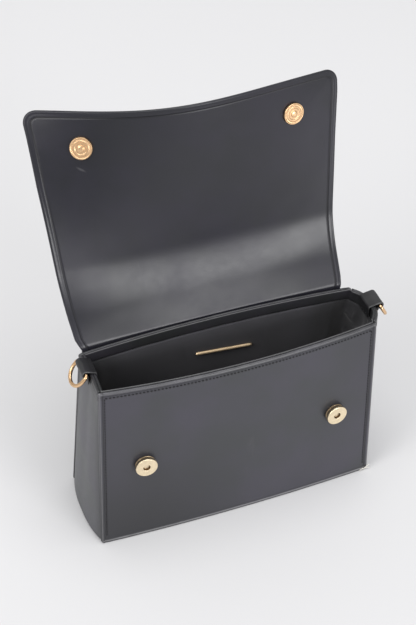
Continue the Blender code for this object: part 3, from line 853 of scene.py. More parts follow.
def tube(name, path, radius, sides, finish_name, closed=False):
    """A round wire along a path of points."""
    path = np.asarray(path, dtype=float)
    count = len(path)
    widths = np.broadcast_to(radius, (count,))
    if closed:
        ways = np.roll(path, -1, axis=0) - np.roll(path, 1, axis=0)
    else:
        ways = np.gradient(path, axis=0)
    ways /= np.linalg.norm(ways, axis=1, keepdims=True)
    side = np.cross(ways[0], (0.0, 0.0, 1.0))
    if np.linalg.norm(side) < 0.1:
        side = np.cross(ways[0], (1.0, 0.0, 0.0))
    vertices = []
    for point, way, wide in zip(path, ways, widths):
        side = side - way * np.dot(side, way)
        side /= np.linalg.norm(side)
        other = np.cross(way, side)
        vertices += [point + wide * (side * x + other * y) for x, y in circle(sides)]
    return add_mesh(name, vertices, ring_faces(count, sides, closed), finish_name,
                    {"edge": np.full(len(vertices), FAR_FROM_EDGE)})


STITCH_SIDES = 6
STITCH_LENGTH_SHARE = 0.64
STITCH_RADIUS = 0.00042
# Share of the stitch's length, share of its radius, lift above the leather in radii
STITCH_TABLE = (
    (-0.50, 0.10, -1.00),
    (-0.44, 0.60, -0.45),
    (-0.30, 0.95, 0.15),
    (0.00, 1.00, 0.35),
    (0.30, 0.95, 0.15),
    (0.44, 0.60, -0.45),
    (0.50, 0.10, -1.00),
)
STITCH_FACES = ring_faces(len(STITCH_TABLE), STITCH_SIDES, capped=False)
# A stitch's direction is taken between the path's points this far before and after it
STITCH_PROBE = 0.0004
# How far the panels' stitches stand off the leather
STITCH_LIFT = 0.00005


class Stitches:
    """Rows of stitches gathered into one mesh."""

    def __init__(self):
        self.vertices = []
        self.faces = []

    def add(self, point, way, up):
        """One stitch at a point, along a direction, lifted along another."""
        pitch = settings("stage").stitch * STITCH_LENGTH_SHARE
        way = Vector(way).normalized()
        up = Vector(up)
        up = (up - way * up.dot(way)).normalized()
        side = way.cross(up)
        start = len(self.vertices)
        self.faces += [tuple(start + corner for corner in face) for face in STITCH_FACES]
        for along, thick, lift in STITCH_TABLE:
            middle = Vector(point) + way * along * pitch + up * lift * STITCH_RADIUS
            self.vertices += [middle + (side * x + up * y) * STITCH_RADIUS * thick
                              for x, y in circle(STITCH_SIDES)]

    def row(self, path, ups):
        """Even stitches along a path of points with their outward directions."""
        path = np.asarray(path)
        ups = np.asarray(ups)
        run = np.concatenate(([0.0], np.cumsum(np.linalg.norm(np.diff(path, axis=0), axis=1))))
        count = max(int(run[-1] / settings("stage").stitch), 1)
        for step in range(count):
            middle = (step + 0.5) * run[-1] / count
            near = [np.array([np.interp(middle + shift, run, path[:, axis])
                              for axis in range(3)]) for shift in (-STITCH_PROBE, STITCH_PROBE)]
            up = [np.interp(middle, run, ups[:, axis]) for axis in range(3)]
            self.add((near[0] + near[1]) / 2, near[1] - near[0], up)

    def finish(self, name):
        """The gathered stitches as one piece."""
        piece = add_mesh(name, self.vertices, self.faces, "waxed_thread")
        dress(piece, "body", slot="leather_black")


class BagOperator(bpy.types.Operator):
    """Shared start of the bag's operators"""
    bl_options = {"REGISTER", "UNDO"}


def panel_grid(form, side):
    """Points of the front or back panel, distances from its ends, foot, rim and any edge."""
    body = form.body
    across = marks(body.base_width, body.panel_wall, 0.00045, 0.0090, 0.0035)
    up = merged(marks(body.height, body.panel_wall, 0.00045, 0.0090, 0.0035),
                [mark / body.height for mark in round_marks(body.corner_radius, 10)])
    points = np.zeros((len(up), len(across), 3))
    ends = np.zeros(points.shape[:2])
    for row, share in enumerate(up):
        height = share * body.height
        reach = form.half_width(height) - form.corner_inset(height)
        for column, part in enumerate(across):
            x = -side * mix(-reach, reach, part)
            near = ends[row, column] = min(form.half_width(height) + x,
                                           form.half_width(height) - x)
            dip = body.rim_dip if side > 0 else 0.0
            down = dip * max(1 - near / (3 * body.rim_dip), 0.0) ** 2 * share**6
            points[row, column] = (x, form.wall_y(x, height, side), height - down)
    low = points[..., 2]
    top = body.height - low
    nearest = np.minimum(rounded_least(ends, low, body.corner_radius), top)
    return points, ends, low, top, np.maximum(nearest, 0.0)


THREAD_RADIUS = 0.00036
# Where a loose thread's end lies from its start, and its bend, in lengths of the fray
FRAY_TABLE = (
    (0.9, -0.12, 0.1, 0.5),
    (-0.7, -0.10, -0.1, 0.6),
    (0.4, -0.15, 0.7, -0.3),
    (-0.3, -0.12, 0.3, 0.2),
    (0.8, -0.10, 0.8, 0.2),
)


class BAG_OT_panels(BagOperator):
    """Front and back panels with turned edges, seams and their stitches"""
    bl_idname = "bag.panels"
    bl_label = "Front and back panels"

    def execute(self, context):
        form = Form()
        body = form.body
        for side, node in ((-1, "front_panel"), (1, "back_panel")):
            points, ends, low, top, nearest = panel_grid(form, side)
            bead, roll = body.bead + 0.0003, body.rim_roll + 0.0004
            relief = np.maximum.reduce([dome(ends, body.bead, 0.00050),
                                        dome(top, body.rim_roll, 0.00050),
                                        dome(low, 0.0030, 0.00030)])
            relief = grooves(relief, (0.00035, ends, bead, 0.0005),
                             (0.00030, top, roll, 0.0006),
                             (0.00022, top, body.rim_stitch_in, 0.0009),
                             (0.00018, ends, body.stitch_in, 0.0007))
            calm = smooth(nearest, 0.0, 0.02)
            relief += 0.0004 * calm * wander(points, 12.0, 2 + side)
            relief += 0.00012 * calm * wander(points, 45.0, 5 + side)
            # Dark seam lines; the darkest line right at the foot is painted shadow under the
            # bottom bend
            seam = strongest((0.95, ends, bead, 0.0005), (0.75, top, roll, 0.0005),
                             (0.30, top, body.rim_stitch_in, 0.0010),
                             (0.70, low, 0.0040, 0.0006), (0.80, low, 0.0006, 0.0009))
            # Painted highlight: light lines just above the foot, beside the ends and below the
            # rim
            rub = strongest((0.90, low, 0.0024, 0.0007), (0.55, ends, 0.0013, 0.0005),
                            (0.35, top, 0.0012, 0.0006))
            # Painted shade: darker low on the left and high towards the right end
            x, rise = points[..., 0], low / body.height
            shade = 0.95 * (1 - smooth(rise, 0.05, 0.75)) * (1 - smooth(x, -0.09, 0.04))
            shade += 0.30 * smooth(x, 0.055, 0.115) * smooth(rise, 0.3, 0.8)
            # The rim roll darker with noise, more on the back panel: worn leather with painted
            # shade
            worn = (0.30 if side < 0 else 0.60) + 0.45 * wander(points, 85.0, 11)
            shade += (1 - smooth(top, 0.0014, 0.0042)) * np.clip(worn, 0.0, 0.9)
            shade = np.clip(shade, 0.0, 1.0)
            piece = hide(node + "_leather", points, body.panel_wall, nearest, relief,
                         "panel_leather", seam, shade=shade, rub=rub)
            dress(piece, "body", node, slot="leather_black")
        self.sew(form)
        return {"FINISHED"}

    def sew(self, form):
        """Stitches below the rim and beside both end seams, front and back."""
        body = form.body
        stitches = Stitches()
        for side in (-1, 1):
            top = body.height - body.rim_stitch_in
            reach = form.half_width(top) - body.stitch_in
            rows = [[(x, top) for x in np.linspace(-reach, reach, 80)]]
            for end in (-1, 1):
                rows.append([(end * (form.half_width(height) - body.stitch_in), height)
                             for height in np.linspace(0.008, top, 60)])
            for row in rows:
                path = [(x, form.wall_y(x, height, side) + side * STITCH_LIFT, height)
                        for x, height in row]
                stitches.row(path, [(0.0, side, 0.05)] * len(path))
        stitches.finish("panel_stitches")
        self.fray(form)

    def fray(self, form):
        """Loose pale thread ends at the front's lower right corner."""
        body = form.body
        x = form.half_width(0.0) - body.corner_radius
        corner = Vector((x, form.wall_y(x, 0.0, -1) - 0.0003, 0.0012))
        for number, (x, y, z, bend) in enumerate(FRAY_TABLE):
            path = [corner + Vector((x * share, y * share, z * share + bend * share
                                     * (1 - share))) * body.fray
                    for share in np.linspace(0.0, 1.0, 7)]
            piece = tube(f"loose_thread_{number + 1}", path, THREAD_RADIUS, 6, "pale_thread")
            dress(piece, "body", slot="leather_black")


# Lines along a gusset's rim: the turned strip's seam and its lower edge, from the rim
GUSSET_SEAM = 0.0034
GUSSET_STRIP = 0.0098
# A gusset's fold: its place from the front and its width, as shares of the gusset
FOLD = (0.52, 0.13)
# The rolls: name, depth of the middle, radius
ROLLS = (("outer", 0.0011, 0.0013), ("inner", 0.0031, 0.0011))


class BAG_OT_gussets(BagOperator):
    """Gussets with their soft fold, hemmed rim and rounded foot"""
    bl_idname = "bag.gussets"
    bl_label = "Gussets"

    def execute(self, context):
        form = Form()
        body = form.body
        for sign, node in ((-1, "gusset_left"), (1, "gusset_right")):
            across = marks(body.base_depth, body.gusset_wall, 0.0006, 0.0060, 0.0020)
            up = merged(marks(body.height, body.gusset_wall, 0.0006, 0.0130, 0.0030),
                        [mark / body.height for mark in round_marks(body.corner_radius, 10)])
            points = np.zeros((len(up), len(across), 3))
            for row, share in enumerate(up):
                for column, part in enumerate(across):
                    place = 1 - part if sign < 0 else part
                    out, y = form.gusset_point(place, share * body.height, sign)
                    points[row, column] = (sign * out, y, share * body.height)
            run = run_lengths(points, 1)
            rise = run_lengths(points, 0)
            sides = from_ends(run, 1)
            top = rise[-1:] - rise
            nearest = np.minimum(sides, from_ends(rise, 0))
            share = run / run[:, -1:]
            height = points[..., 2] / body.height
            fold = line_mask(share, *FOLD) * smooth(height, 0.05, 0.75)
            relief = -0.0006 * fold
            relief += 0.0005 * smooth(nearest, 0.0, 0.012) * wander(points, 30.0, 9 + sign)
            relief += 0.00035 * (1 - smooth(top, 0.0085, GUSSET_STRIP))
            relief = grooves(relief, (0.00025, top, GUSSET_SEAM, 0.0005))
            seam = strongest((0.7, top, GUSSET_SEAM, 0.00045),
                             (0.5, top, GUSSET_STRIP, 0.0006))
            # Darker along the turned strip at the top; painted shade in the fold, on an upright
            # band towards one end and along the front and back edges
            ahead = 1 - smooth(np.abs(share - 0.78), 0.02, 0.16)
            shade = 0.75 * (1 - smooth(top, 0.0075, 0.0150)) + 0.12 * fold
            shade += 0.22 * ahead * smooth(height, 0.0, 0.3)
            shade = np.maximum(shade, 0.7 * (1 - smooth(sides, 0.0, 0.0110)))
            fill = body.lining_slack * (1 - smooth(top, 0.0020, 0.0060))
            fill *= smooth(sides, 0.0015, 0.0040)
            piece = hide(node + "_leather", points, body.gusset_wall, nearest, relief,
                         "gusset_leather", seam, fill, np.clip(shade, 0.0, 1.0))
            dress(piece, "body", node, slot="leather_gusset")
            self.rolls(form, sign, node)
        return {"FINISHED"}

    def rolls(self, form, sign, node):
        """Two soft rolls of turned leather along the gusset's rim."""
        body = form.body
        for name, depth, radius in ROLLS:
            path = []
            for share in np.linspace(0.015, 0.985, 60):
                out, y = form.gusset_inside(share, body.height, sign, depth)
                path.append((sign * out, y, body.height + 0.0002 - radius))
            piece = tube(f"{node}_rim_{name}", path, radius, 12, "facing_leather")
            dress(piece, "body", slot="leather_gusset")


# The base's seam from its edge
BASE_SEAM = 0.0045


class BAG_OT_base(BagOperator):
    """Base with a turned edge all round"""
    bl_idname = "bag.base"
    bl_label = "Base"

    def execute(self, context):
        form = Form()
        body = form.body
        behind = body.panel_wall * SLOPE_ALLOWANCE + body.seam_gap
        across = marks(body.base_width, body.base_wall, 0.0008, 0.0060, 0.0050)
        deep = marks(body.base_depth, body.base_wall, 0.0008, 0.0060, 0.0050)
        points = np.zeros((len(deep), len(across), 3))
        for row, share in enumerate(deep):
            left, right = (form.gusset_point(1 - share, 0.0, sign)[0] - body.base_end_gap
                           for sign in (-1, 1))
            for column, part in enumerate(across):
                x = mix(-left, right, part)
                back = form.wall_y(x, body.base_wall, 1) - behind
                front = form.wall_y(x, body.base_wall, -1) + behind
                points[row, column] = (x, mix(back, front, share), 0.0)
        nearest = np.minimum(*(from_ends(run_lengths(points, axis), axis) for axis in (0, 1)))
        relief = grooves(0.0, (0.0002, nearest, BASE_SEAM, 0.0006))
        piece = hide("base_leather", points, body.base_wall, nearest, relief,
                     "panel_leather", strongest((0.6, nearest, BASE_SEAM, 0.0005)))
        dress(piece, "body", "base_panel", slot="leather_black")
        return {"FINISHED"}


# Columns along a wall, columns along an end, rows
LINING_COLUMNS = 90
LINING_ENDS = 36
LINING_ROWS = 60
# Scales of the lining's upright folds, drape and creases on each axis
SWING_SCALE = (60.0, 95.0, 60.0)
DRAPE_SCALE = (26.0, 20.0, 34.0)
CRUSH_SCALE = (70.0, 110.0, 90.0)
# Height of the waves along the facing's lower edge
FACING_WAVE = 0.0003
# The lining stays flat this far round the bar
BAR_CLEAR = 0.012


def loop_shell(name, loops, finish_name, closed, edge=FAR_FROM_EDGE, shade=0.0):
    """A closed wall from equal loops; the first and last meet or are capped."""
    vertices = np.concatenate(loops)
    faces = ring_faces(len(loops), len(loops[0]), closed)
    around = np.cumsum(np.linalg.norm(np.diff(loops[0], axis=0, append=loops[0][:1]), axis=1))
    flat = np.stack((np.tile(around, len(loops)), vertices[:, 2]), axis=1)
    stored = {key: np.broadcast_to(values, len(vertices)) for key, values in
              (("edge", edge), ("seam", 0.0), ("rub", 0.0), ("shade", shade))}
    return add_mesh(name, vertices, faces, finish_name, stored, flat)


class BAG_OT_lining(BagOperator):
    """Woven lining with soft folds and the leather facing inside the rim"""
    bl_idname = "bag.lining"
    bl_label = "Lining and facing"

    def execute(self, context):
        self.line(Form())
        self.face(Form())
        return {"FINISHED"}

    def line(self, form):
        """The lining: an outer wall against the leather and a folded inner face."""
        body = form.body
        floor = body.base_wall + body.seam_gap
        top = body.height - body.facing_height - body.seam_gap
        low = floor + 2 * body.lining_wall
        heights = np.concatenate(([floor, (floor + low) / 2],
                                  np.linspace(low, top, LINING_ROWS)))
        steps = [*heights[::6], top] if heights[-1] != heights[::6][-1] else heights[::6]
        outer = [form.body_loop(height, 0.0, LINING_COLUMNS, LINING_ENDS) for height in steps]
        inner = []
        for height in reversed(heights):
            loop = form.body_loop(height, body.lining_wall, LINING_COLUMNS, LINING_ENDS)
            inner.append(self.folded(form, loop, height))
        inner[-1][:, 2] = floor + body.lining_wall
        # Painted shade: the lining darker towards both ends of the bag
        across = np.abs(np.concatenate(outer + inner)[:, 0])
        piece = loop_shell("lining_cloth", outer + inner, "woven_lining", False,
                           shade=smooth(across, 0.070, 0.105))
        dress(piece, "body", "lining", slot="lining_black")

    def folded(self, form, loop, height):
        """Soft folds: upright ones at the ends, long shallow ones on the walls."""
        body = form.body
        rise = height / body.height
        ends = smooth(np.abs(loop[:, 0]), 0.090, 0.112)
        swing = (1 - abs(loop_noise(loop, height, SWING_SCALE))) ** 4
        drape = loop_noise(loop, height, DRAPE_SCALE) * 0.5 + 0.5
        crush = loop_noise(loop, height, CRUSH_SCALE) * 0.5 + 0.5
        inward = (0.0032 * ends * swing * (0.3 + 0.7 * crush) + 0.0022 * ends * crush
                  + 0.0007 * drape) * min(1.0, rise / 0.2, (1.0 - rise) / 0.14)
        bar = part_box("bar_plate")
        clear = ((loop[:, 0] > bar[0][0] - BAR_CLEAR) & (loop[:, 0] < bar[1][0] + BAR_CLEAR)
                 & (loop[:, 1] > 0.0))
        inward[clear] *= 0.1
        middle = body.rim_shift * rise
        ways = np.stack((np.sign(loop[:, 0]) * ends,
                         np.sign(loop[:, 1] - middle) * (1 - ends)), axis=1)
        ways /= np.maximum(np.linalg.norm(ways, axis=1, keepdims=True), 1e-9)
        result = loop.copy()
        result[:, :2] -= ways * inward[:, None]
        return result

    def face(self, form):
        """The facing strip, wavy along its lower edge and round along its top."""
        body = form.body
        wall = body.facing_wall
        half = wall / 2
        # Share of the height from the top, depth from the facing's outer face
        section = [(0.0, half)]
        for step in range(1, 5):
            turn = math.radians(90 * step / 4)
            section.append((half * (1 - math.cos(turn)) / body.facing_height,
                            half + half * math.sin(turn)))
        section += [(share, wall) for share in (0.2, 0.4, 0.6, 0.8)]
        section += [(1.0 - half / body.facing_height, wall), (1.0, half)]
        section += [(1.0 - half / body.facing_height, 0.0), (0.5, 0.0),
                    (half / body.facing_height, 0.0)]
        loops, edges = [], []
        for share, depth in section:
            height = body.height - share * body.facing_height
            loop = form.body_loop(height, depth, LINING_COLUMNS, LINING_ENDS)
            if share > 0.9:
                loop[:, 2] += (FACING_WAVE * np.sin(loop[:, 0] * 190.0 + 1.0)
                               * smooth(share, 0.6, 1.0))
            loops.append(loop)
            edges += [min(share, 1 - share) * body.facing_height * 1000] * len(loop)
        piece = loop_shell("rim_facing_leather", list(reversed(loops)), "facing_leather",
                           True, list(reversed(edges)))
        dress(piece, "body", "rim_facing", slot="leather_black")


class BAG_OT_flap(BagOperator):
    """Flap with its turned hem, soft bend and sewn tail"""
    bl_idname = "bag.flap"
    bl_label = "Flap"

    def execute(self, context):
        form = Form()
        flap = form.flap
        whole = flap.length + flap.tail
        up = marks(whole, flap.wall, 0.0005, 0.0100, 0.0025)
        turns = [1 - mark / whole for mark in round_marks(flap.corner_radius, 14)]
        bend = np.linspace(flap.tail - 0.004, flap.tail + 0.012, 14) / whole
        up = merged(up, turns, bend)
        across = marks(flap.free_width, flap.wall, 0.0005, 0.0100, 0.0030)
        points = np.zeros((len(up), len(across), 3))
        sides, free, low = np.zeros((3, len(up), len(across)))
        for row, share in enumerate(up):
            along = share * whole - flap.tail
            free[row], low[row] = flap.length - along, along + flap.tail
            left = min(max(along - (flap.length - flap.corner_radius), 0.0),
                       flap.corner_radius)
            inset = flap.corner_radius - math.sqrt(flap.corner_radius**2 - left**2)
            half = form.flap_width(max(along / flap.length, 0.0)) / 2
            for column, part in enumerate(across):
                place = mix(-1.0, 1.0, part) * (1 - inset / half)
                points[row, column] = form.flap_point(place, along)
                sides[row, column] = half * (1 - abs(place))
        corner = np.maximum(rounded_least(sides, free, flap.corner_radius), 0.0)
        nearest = np.minimum(corner, low)
        relief = 0.00028 * (1 - smooth(corner, flap.hem - 0.0003, flap.hem + 0.0005))
        relief = grooves(relief, (0.00028, corner, flap.hem + 0.0006, 0.0005))
        relief += dome(corner, 0.0024, 0.00018)
        calm = smooth(nearest, 0.0, 0.02) * smooth(low, flap.tail, flap.tail + 0.02)
        relief += 0.0008 * calm * wander(points, 13.0, 4)
        relief += 0.0001 * calm * wander(points, 60.0, 6)
        seam = strongest((0.95, corner, flap.hem + 0.0005, 0.0005))
        back = 0.0006 * calm * wander(points, 16.0, 8)
        piece = hide("flap_leather", points, flap.wall, nearest, relief, "flap_leather",
                     seam, back)
        dress(piece, "body", "flap", slot="leather_black")
        self.sew(form)
        return {"FINISHED"}

    def sew(self, form):
        """Stitches through the outer side: round the edge and across the tail."""
        flap = form.flap
        stitches = Stitches()
        inset = flap.hem + 0.0004
        rows = [[(part, drop - flap.tail) for part in np.linspace(-0.95, 0.95, 60)]
                for drop in (0.0040, 0.0180)]
        for end in (-1, 1):
            row = []
            for along in np.linspace(-flap.tail + 0.006, flap.length - flap.corner_radius, 80):
                half = form.flap_width(max(along / flap.length, 0.0)) / 2
                row.append((end * (1 - inset / half), along))
            rows.append(row)
        reach = 1 - (flap.corner_radius + 0.001) / (flap.free_width / 2)
        rows.append([(part, flap.length - inset) for part in np.linspace(-reach, reach, 80)])
        for row in rows:
            faces = [form.flap_face(*spot) for spot in row]
            stitches.row([point + way * flap.wall for point, way in faces],
                         [way for _, way in faces])
        stitches.finish("flap_stitches")


# Edges of a turned piece that bend more than this stay sharp
SHARP_ANGLE = math.radians(38.0)
# Gap between a snap and the leather that carries it
SNAP_GAP = 0.0003
SIDES = (("left", -1), ("right", 1))


def turned(name, profile, place, normal, finish_name, shades=0.0):
    """A profile of radius and height turned about an axis on a face."""
    sides = settings("stage").sides
    vertices = [(radius * x, radius * y, height) for radius, height in profile
                for x, y in circle(sides)]
    levels = np.repeat(np.broadcast_to(shades, len(profile)), sides)
    piece = add_mesh(name, vertices, ring_faces(len(profile), sides, flip=True), finish_name,
                     {"shade": levels})
    piece.data.set_sharp_from_angle(angle=SHARP_ANGLE)
    turn = Vector(normal).to_track_quat("Z", "Y").to_matrix().to_4x4()
    piece.matrix_world = Matrix.Translation(Vector(place)) @ turn
    return piece


def rounded_profile(corners, radius, steps=4):
    """A profile with every corner between its two ends rounded off."""
    points = [Vector(corner) for corner in corners]
    result = [points[0]]
    for before, corner, after in zip(points, points[1:], points[2:]):
        back, on = before - corner, after - corner
        reach = min(radius, back.length * 0.45, on.length * 0.45)
        low, high = corner + back.normalized() * reach, corner + on.normalized() * reach
        for step in range(steps + 1):
            share = step / steps
            result.append(low.lerp(corner, share).lerp(corner.lerp(high, share), share))
    result.append(points[-1])
    return [(max(point.x, 0.0), point.y) for point in result]


class BAG_OT_snaps(BagOperator):
    """Studs on the front and caps on the flap"""
    bl_idname = "bag.snaps"
    bl_label = "Snaps"

    def execute(self, context):
        form = Form()
        metal, flap = form.metal, form.flap
        radius = metal.snap / 2 - 0.0001
        button = metal.snap / 2 - 0.0003
        thick = metal.stud_thick
        neck = thick * 0.42
        stud = rounded_profile((
            (0.00005, thick - 0.0017), (0.0023, thick - 0.0017), (0.00265, thick - 0.0016),
            (0.0028, thick - 0.0003), (0.0031, thick), (radius - 0.0014, thick - 0.0001),
            (radius - 0.0008, thick), (radius - 0.0002, thick - 0.0001),
            (radius, thick - 0.0006), (radius, neck + 0.0004), (radius - 0.0006, neck),
            (radius - 0.0014, neck - 0.0003), (radius - 0.0014, 0.0006),
            (radius - 0.0006, 0.0), (0.00005, 0.0)), 0.00018)
        # Painted shade: the socket's wall, seen as a dark crescent, and the drum behind the
        # face
        shades = [float(0.0022 < away < 0.0030 and high < thick - 0.0002)
                  + 0.80 * float(away > 0.0050) * float(smooth(thick - high, 0.0005, 0.0013))
                  for away, high in stud]
        face = metal.cap_thick - 0.0004
        cap = rounded_profile((
            (0.00005, face + 0.0011), (0.0012, face + 0.0012), (0.0025, face + 0.0008),
            (0.0027, face), (0.0044, face), (0.0048, face + 0.0004),
            (0.0060, face + 0.0004), (0.0064, face), (button - 0.0013, face),
            (button - 0.0009, metal.cap_thick), (button - 0.0002, metal.cap_thick),
            (button, metal.cap_thick - 0.0005), (button, 0.0), (0.00005, 0.0)), 0.00020)
        along = flap.length - metal.cap_from_edge
        for side, sign in SIDES:
            x = metal.stud_shift + sign * metal.spacing / 2
            height = metal.stud_height
            seat = Vector((x, form.wall_y(x, height, -1), height))
            slope = form.wall_y(x + PROBE, height, -1) - form.wall_y(x - PROBE, height, -1)
            lean = form.wall_y(x, height + PROBE, -1) - form.wall_y(x, height - PROBE, -1)
            normal = Vector((2 * PROBE, slope, 0.0)).cross(Vector((0.0, lean, 2 * PROBE)))
            normal.normalize()
            piece = turned(f"stud_{side}", stud, seat + normal * SNAP_GAP, normal,
                           "stud_gold", shades)
            dress(piece, "body", f"snap_stud_{side}", slot="gold_pale")
            reach = metal.cap_shift + sign * metal.spacing / 2
            across = reach / (form.flap_width(along / flap.length) / 2)
            seat, outward = form.flap_face(across, along)
            piece = turned(f"cap_{side}", cap, seat - outward * SNAP_GAP, -outward, "cap_gold")
            dress(piece, "body", f"snap_cap_{side}", slot="gold_plated")
        return {"FINISHED"}


def ring_axis(form, sign):
    """The point that a ring's bar turns on."""
    body, metal = form.body, form.metal
    out = form.gusset_point(0.5, body.height, sign)[0]
    out += body.seam_gap + metal.tab_wall + metal.tab_channel
    front, back = form.gusset_ends(body.height)
    behind = metal.tab_back_left if sign < 0 else metal.tab_back_right
    raised = metal.channel_up_left if sign < 0 else metal.channel_up_right
    return out, (front + back) / 2 + behind, body.height + raised


# Radius of a tab's bend over the rim, and the angle at which it leaves the ring
TAB_BEND = 0.0012
TAB_LOOP_END = -118.0
# Distance of a tab's stitches from its foot and sides
TAB_STITCH_IN = 0.0018


def tab_legs(form, sign):
    """Outward distances of a tab's inner and outer leg, and the height of its foot."""
    body = form.body
    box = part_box("tab_left" if sign < 0 else "tab_right")
    inside = -box[1][0] if sign < 0 else box[0][0]
    foot = body.height - form.metal.tab_drop
    outside = max(form.gusset_point(0.5, height, sign)[0] for height in (body.height, foot))
    return inside, outside + body.seam_gap, foot


class BAG_OT_tabs(BagOperator):
    """Leather tabs looped over the gussets' rims and round the rings"""
    bl_idname = "bag.tabs"
    bl_label = "Tabs"

    def execute(self, context):
        form = Form()
        for side, sign in SIDES:
            path = self.path(form, sign)
            piece = self.strip(form, f"tab_{side}_leather", path, sign)
            dress(piece, "body", f"tab_{side}", slot="leather_black")
        self.sew(form)
        return {"FINISHED"}

    def path(self, form, sign):
        """The strip's middle line as outward distance and height."""
        body, metal = form.body, form.metal
        out, _, height = ring_axis(form, sign)
        inside, outside, foot = tab_legs(form, sign)
        half = metal.tab_wall / 2
        round_bar = metal.tab_channel + half
        over = body.height + body.seam_gap + half
        line = [(inside + half, level) for level in np.linspace(foot, over - TAB_BEND, 8)]
        line += arc(inside + half + TAB_BEND, over - TAB_BEND, TAB_BEND, 180, 90, 5, 1)
        start, end = line[-1], (out, height + round_bar)
        for step in range(1, 8):
            share = step / 8
            lift = 0.0002 * math.sin(math.pi * share)
            line.append((mix(start[0], end[0], share), mix(start[1], end[1], share) + lift))
        line += arc(out, height, round_bar, 90, TAB_LOOP_END, 16)
        last = line[-1]
        for step in range(1, 8):
            share = step / 7
            ease = share * share * (3 - 2 * share)
            line.append((mix(last[0], outside + half, min(ease * 2.2, 1.0)),
                         mix(last[1], foot, share)))
        return np.array(line)

    def strip(self, form, name, path, sign):
        """The flat strip swept along its middle line with rounded edges."""
        metal = form.metal
        bar_out, middle, _ = ring_axis(form, sign)
        half_wide, half = metal.tab_width / 2, metal.tab_wall / 2
        section = []
        for side, start in ((1, 0), (-1, 90), (-1, 180), (1, 270)):
            section += arc(side * (half_wide - half), 0.0, half, start, start + 90, 3)
        dense = [section[0]]
        for before, after in zip(section, section[1:] + section[:1]):
            pieces = 12 if abs(before[0] - after[0]) > half_wide else 1
            dense += [(mix(before[0], after[0], step / pieces),
                       mix(before[1], after[1], step / pieces))
                      for step in range(1, pieces + 1)]
        section = dense[:-1]
        ways = np.gradient(path, axis=0)
        ways /= np.linalg.norm(ways, axis=1, keepdims=True)
        vertices, edges, shades = [], [], []
        for (out, height), way in zip(path, ways):
            normal = (-way[1], way[0])
            inner = 1 - float(smooth(out, bar_out - 0.0055, bar_out - 0.0020))
            for wide, thick in section:
                curl = 0.00012 * math.sin(wide * 420.0)
                vertices.append((sign * (out + normal[0] * (thick + curl)), middle + wide,
                                 height + normal[1] * (thick + curl)))
                edges.append(max(half_wide - abs(wide), 0.0) * 1000 + 3 * inner)
                # Darker overall, with painted shade on the inner leg inside the bag
                shades.append(0.35 + 0.60 * inner)
        faces = ring_faces(len(path), len(section), flip=sign < 0)
        plain = np.zeros(len(vertices))
        stored = {"edge": edges, "seam": plain, "shade": shades, "rub": plain}
        return add_mesh(name, vertices, faces, "facing_leather", stored)

    def sew(self, form):
        """A row of stitches across the foot of each tab's two legs."""
        metal = form.metal
        stitches = Stitches()
        for _, sign in SIDES:
            middle = ring_axis(form, sign)[1]
            inside, outside, foot = tab_legs(form, sign)
            reach = metal.tab_width / 2 - TAB_STITCH_IN
            for x, way in ((outside + metal.tab_wall, sign), (inside, -sign)):
                row = [(sign * x, middle + y, foot + TAB_STITCH_IN)
                       for y in np.linspace(-reach, reach, 12)]
                stitches.row(row, [(way, 0.0, 0.0)] * len(row))
        stitches.finish("tab_stitches")


# The bow of a ring is this much thicker than the bar that its tab holds
RING_SWELL = 0.00022


class BAG_OT_rings(BagOperator):
    """Rings that swing in the tabs"""
    bl_idname = "bag.rings"
    bl_label = "Rings"

    def execute(self, context):
        form = Form()
        metal = form.metal
        half = (metal.ring_inside + metal.ring_wire) / 2
        corner = metal.ring_corner
        # Across and down from the bar: a corner, the bow, the other corner, the bar
        line = arc(half - corner, corner, corner, -90, 0, 8)
        line += arc(0.0, metal.ring_leg, half, 0, 180, 48)
        line += arc(corner - half, corner, corner, 180, 270, 8)
        line += [(mix(corner - half, half - corner, step / 12), 0.0) for step in range(1, 12)]
        for side, sign in SIDES:
            out, middle, height = ring_axis(form, sign)
            lean = math.radians(metal.ring_lean_left if sign < 0 else metal.ring_lean_right)
            path = [(sign * (out + down * math.cos(lean)), middle + across,
                     height - down * math.sin(lean)) for across, down in line]
            swell = [RING_SWELL * smooth(down, 0.0, corner) for _, down in line]
            piece = tube(f"ring_{side}_wire", path, metal.ring_wire / 2 + np.array(swell), 20,
                         "ring_gold", True)
            dress(piece, f"ring_{side}_body", f"ring_{side}", slot="gold_plated")
        return {"FINISHED"}


# How far the bar is turned forward, how much one end is higher, half of its thickness
BAR_ROLL = math.radians(-54.0)
BAR_TILT = math.radians(5.2)
BAR_DEEP = 0.00068
BAR_SIDES = 16


class BAG_OT_bar(BagOperator):
    """Plain bar on the lining's back wall"""
    bl_idname = "bag.bar"
    bl_label = "Bar"

    def execute(self, context):
        form = Form()
        metal = form.metal
        low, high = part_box("bar_plate")
        middle = (Vector(low) + Vector(high)) / 2
        lean = math.radians(form.back_lean())
        half, reach = metal.bar_height * 0.52, metal.bar_length / 2
        stations = np.linspace(-reach, reach, 30)
        vertices, shades = [], []
        for along in stations:
            small = min(1.0, 0.72 + (reach - abs(along)) / 0.0018 * 0.28)
            for x, y in circle(BAR_SIDES):
                wide = math.copysign(abs(x) ** 0.8, x) * half
                deep = math.copysign(abs(y) ** 0.9, y) * BAR_DEEP
                vertices.append((along, deep * small, wide * small))
                # Painted shade: the bar's upper half darker
                shades.append(0.25 * float(smooth(wide / half, 0.0, 0.6)))
        piece = add_mesh("bar_gold", vertices,
                         ring_faces(len(stations), BAR_SIDES, flip=True), "bar_gold",
                         {"shade": shades})
        piece.matrix_world = (Matrix.Translation(middle) @ Matrix.Rotation(BAR_TILT, 4, "Y")
                              @ Matrix.Rotation(BAR_ROLL - lean, 4, "X"))
        dress(piece, "body", "bar_plate", slot="gold_plated")
        return {"FINISHED"}


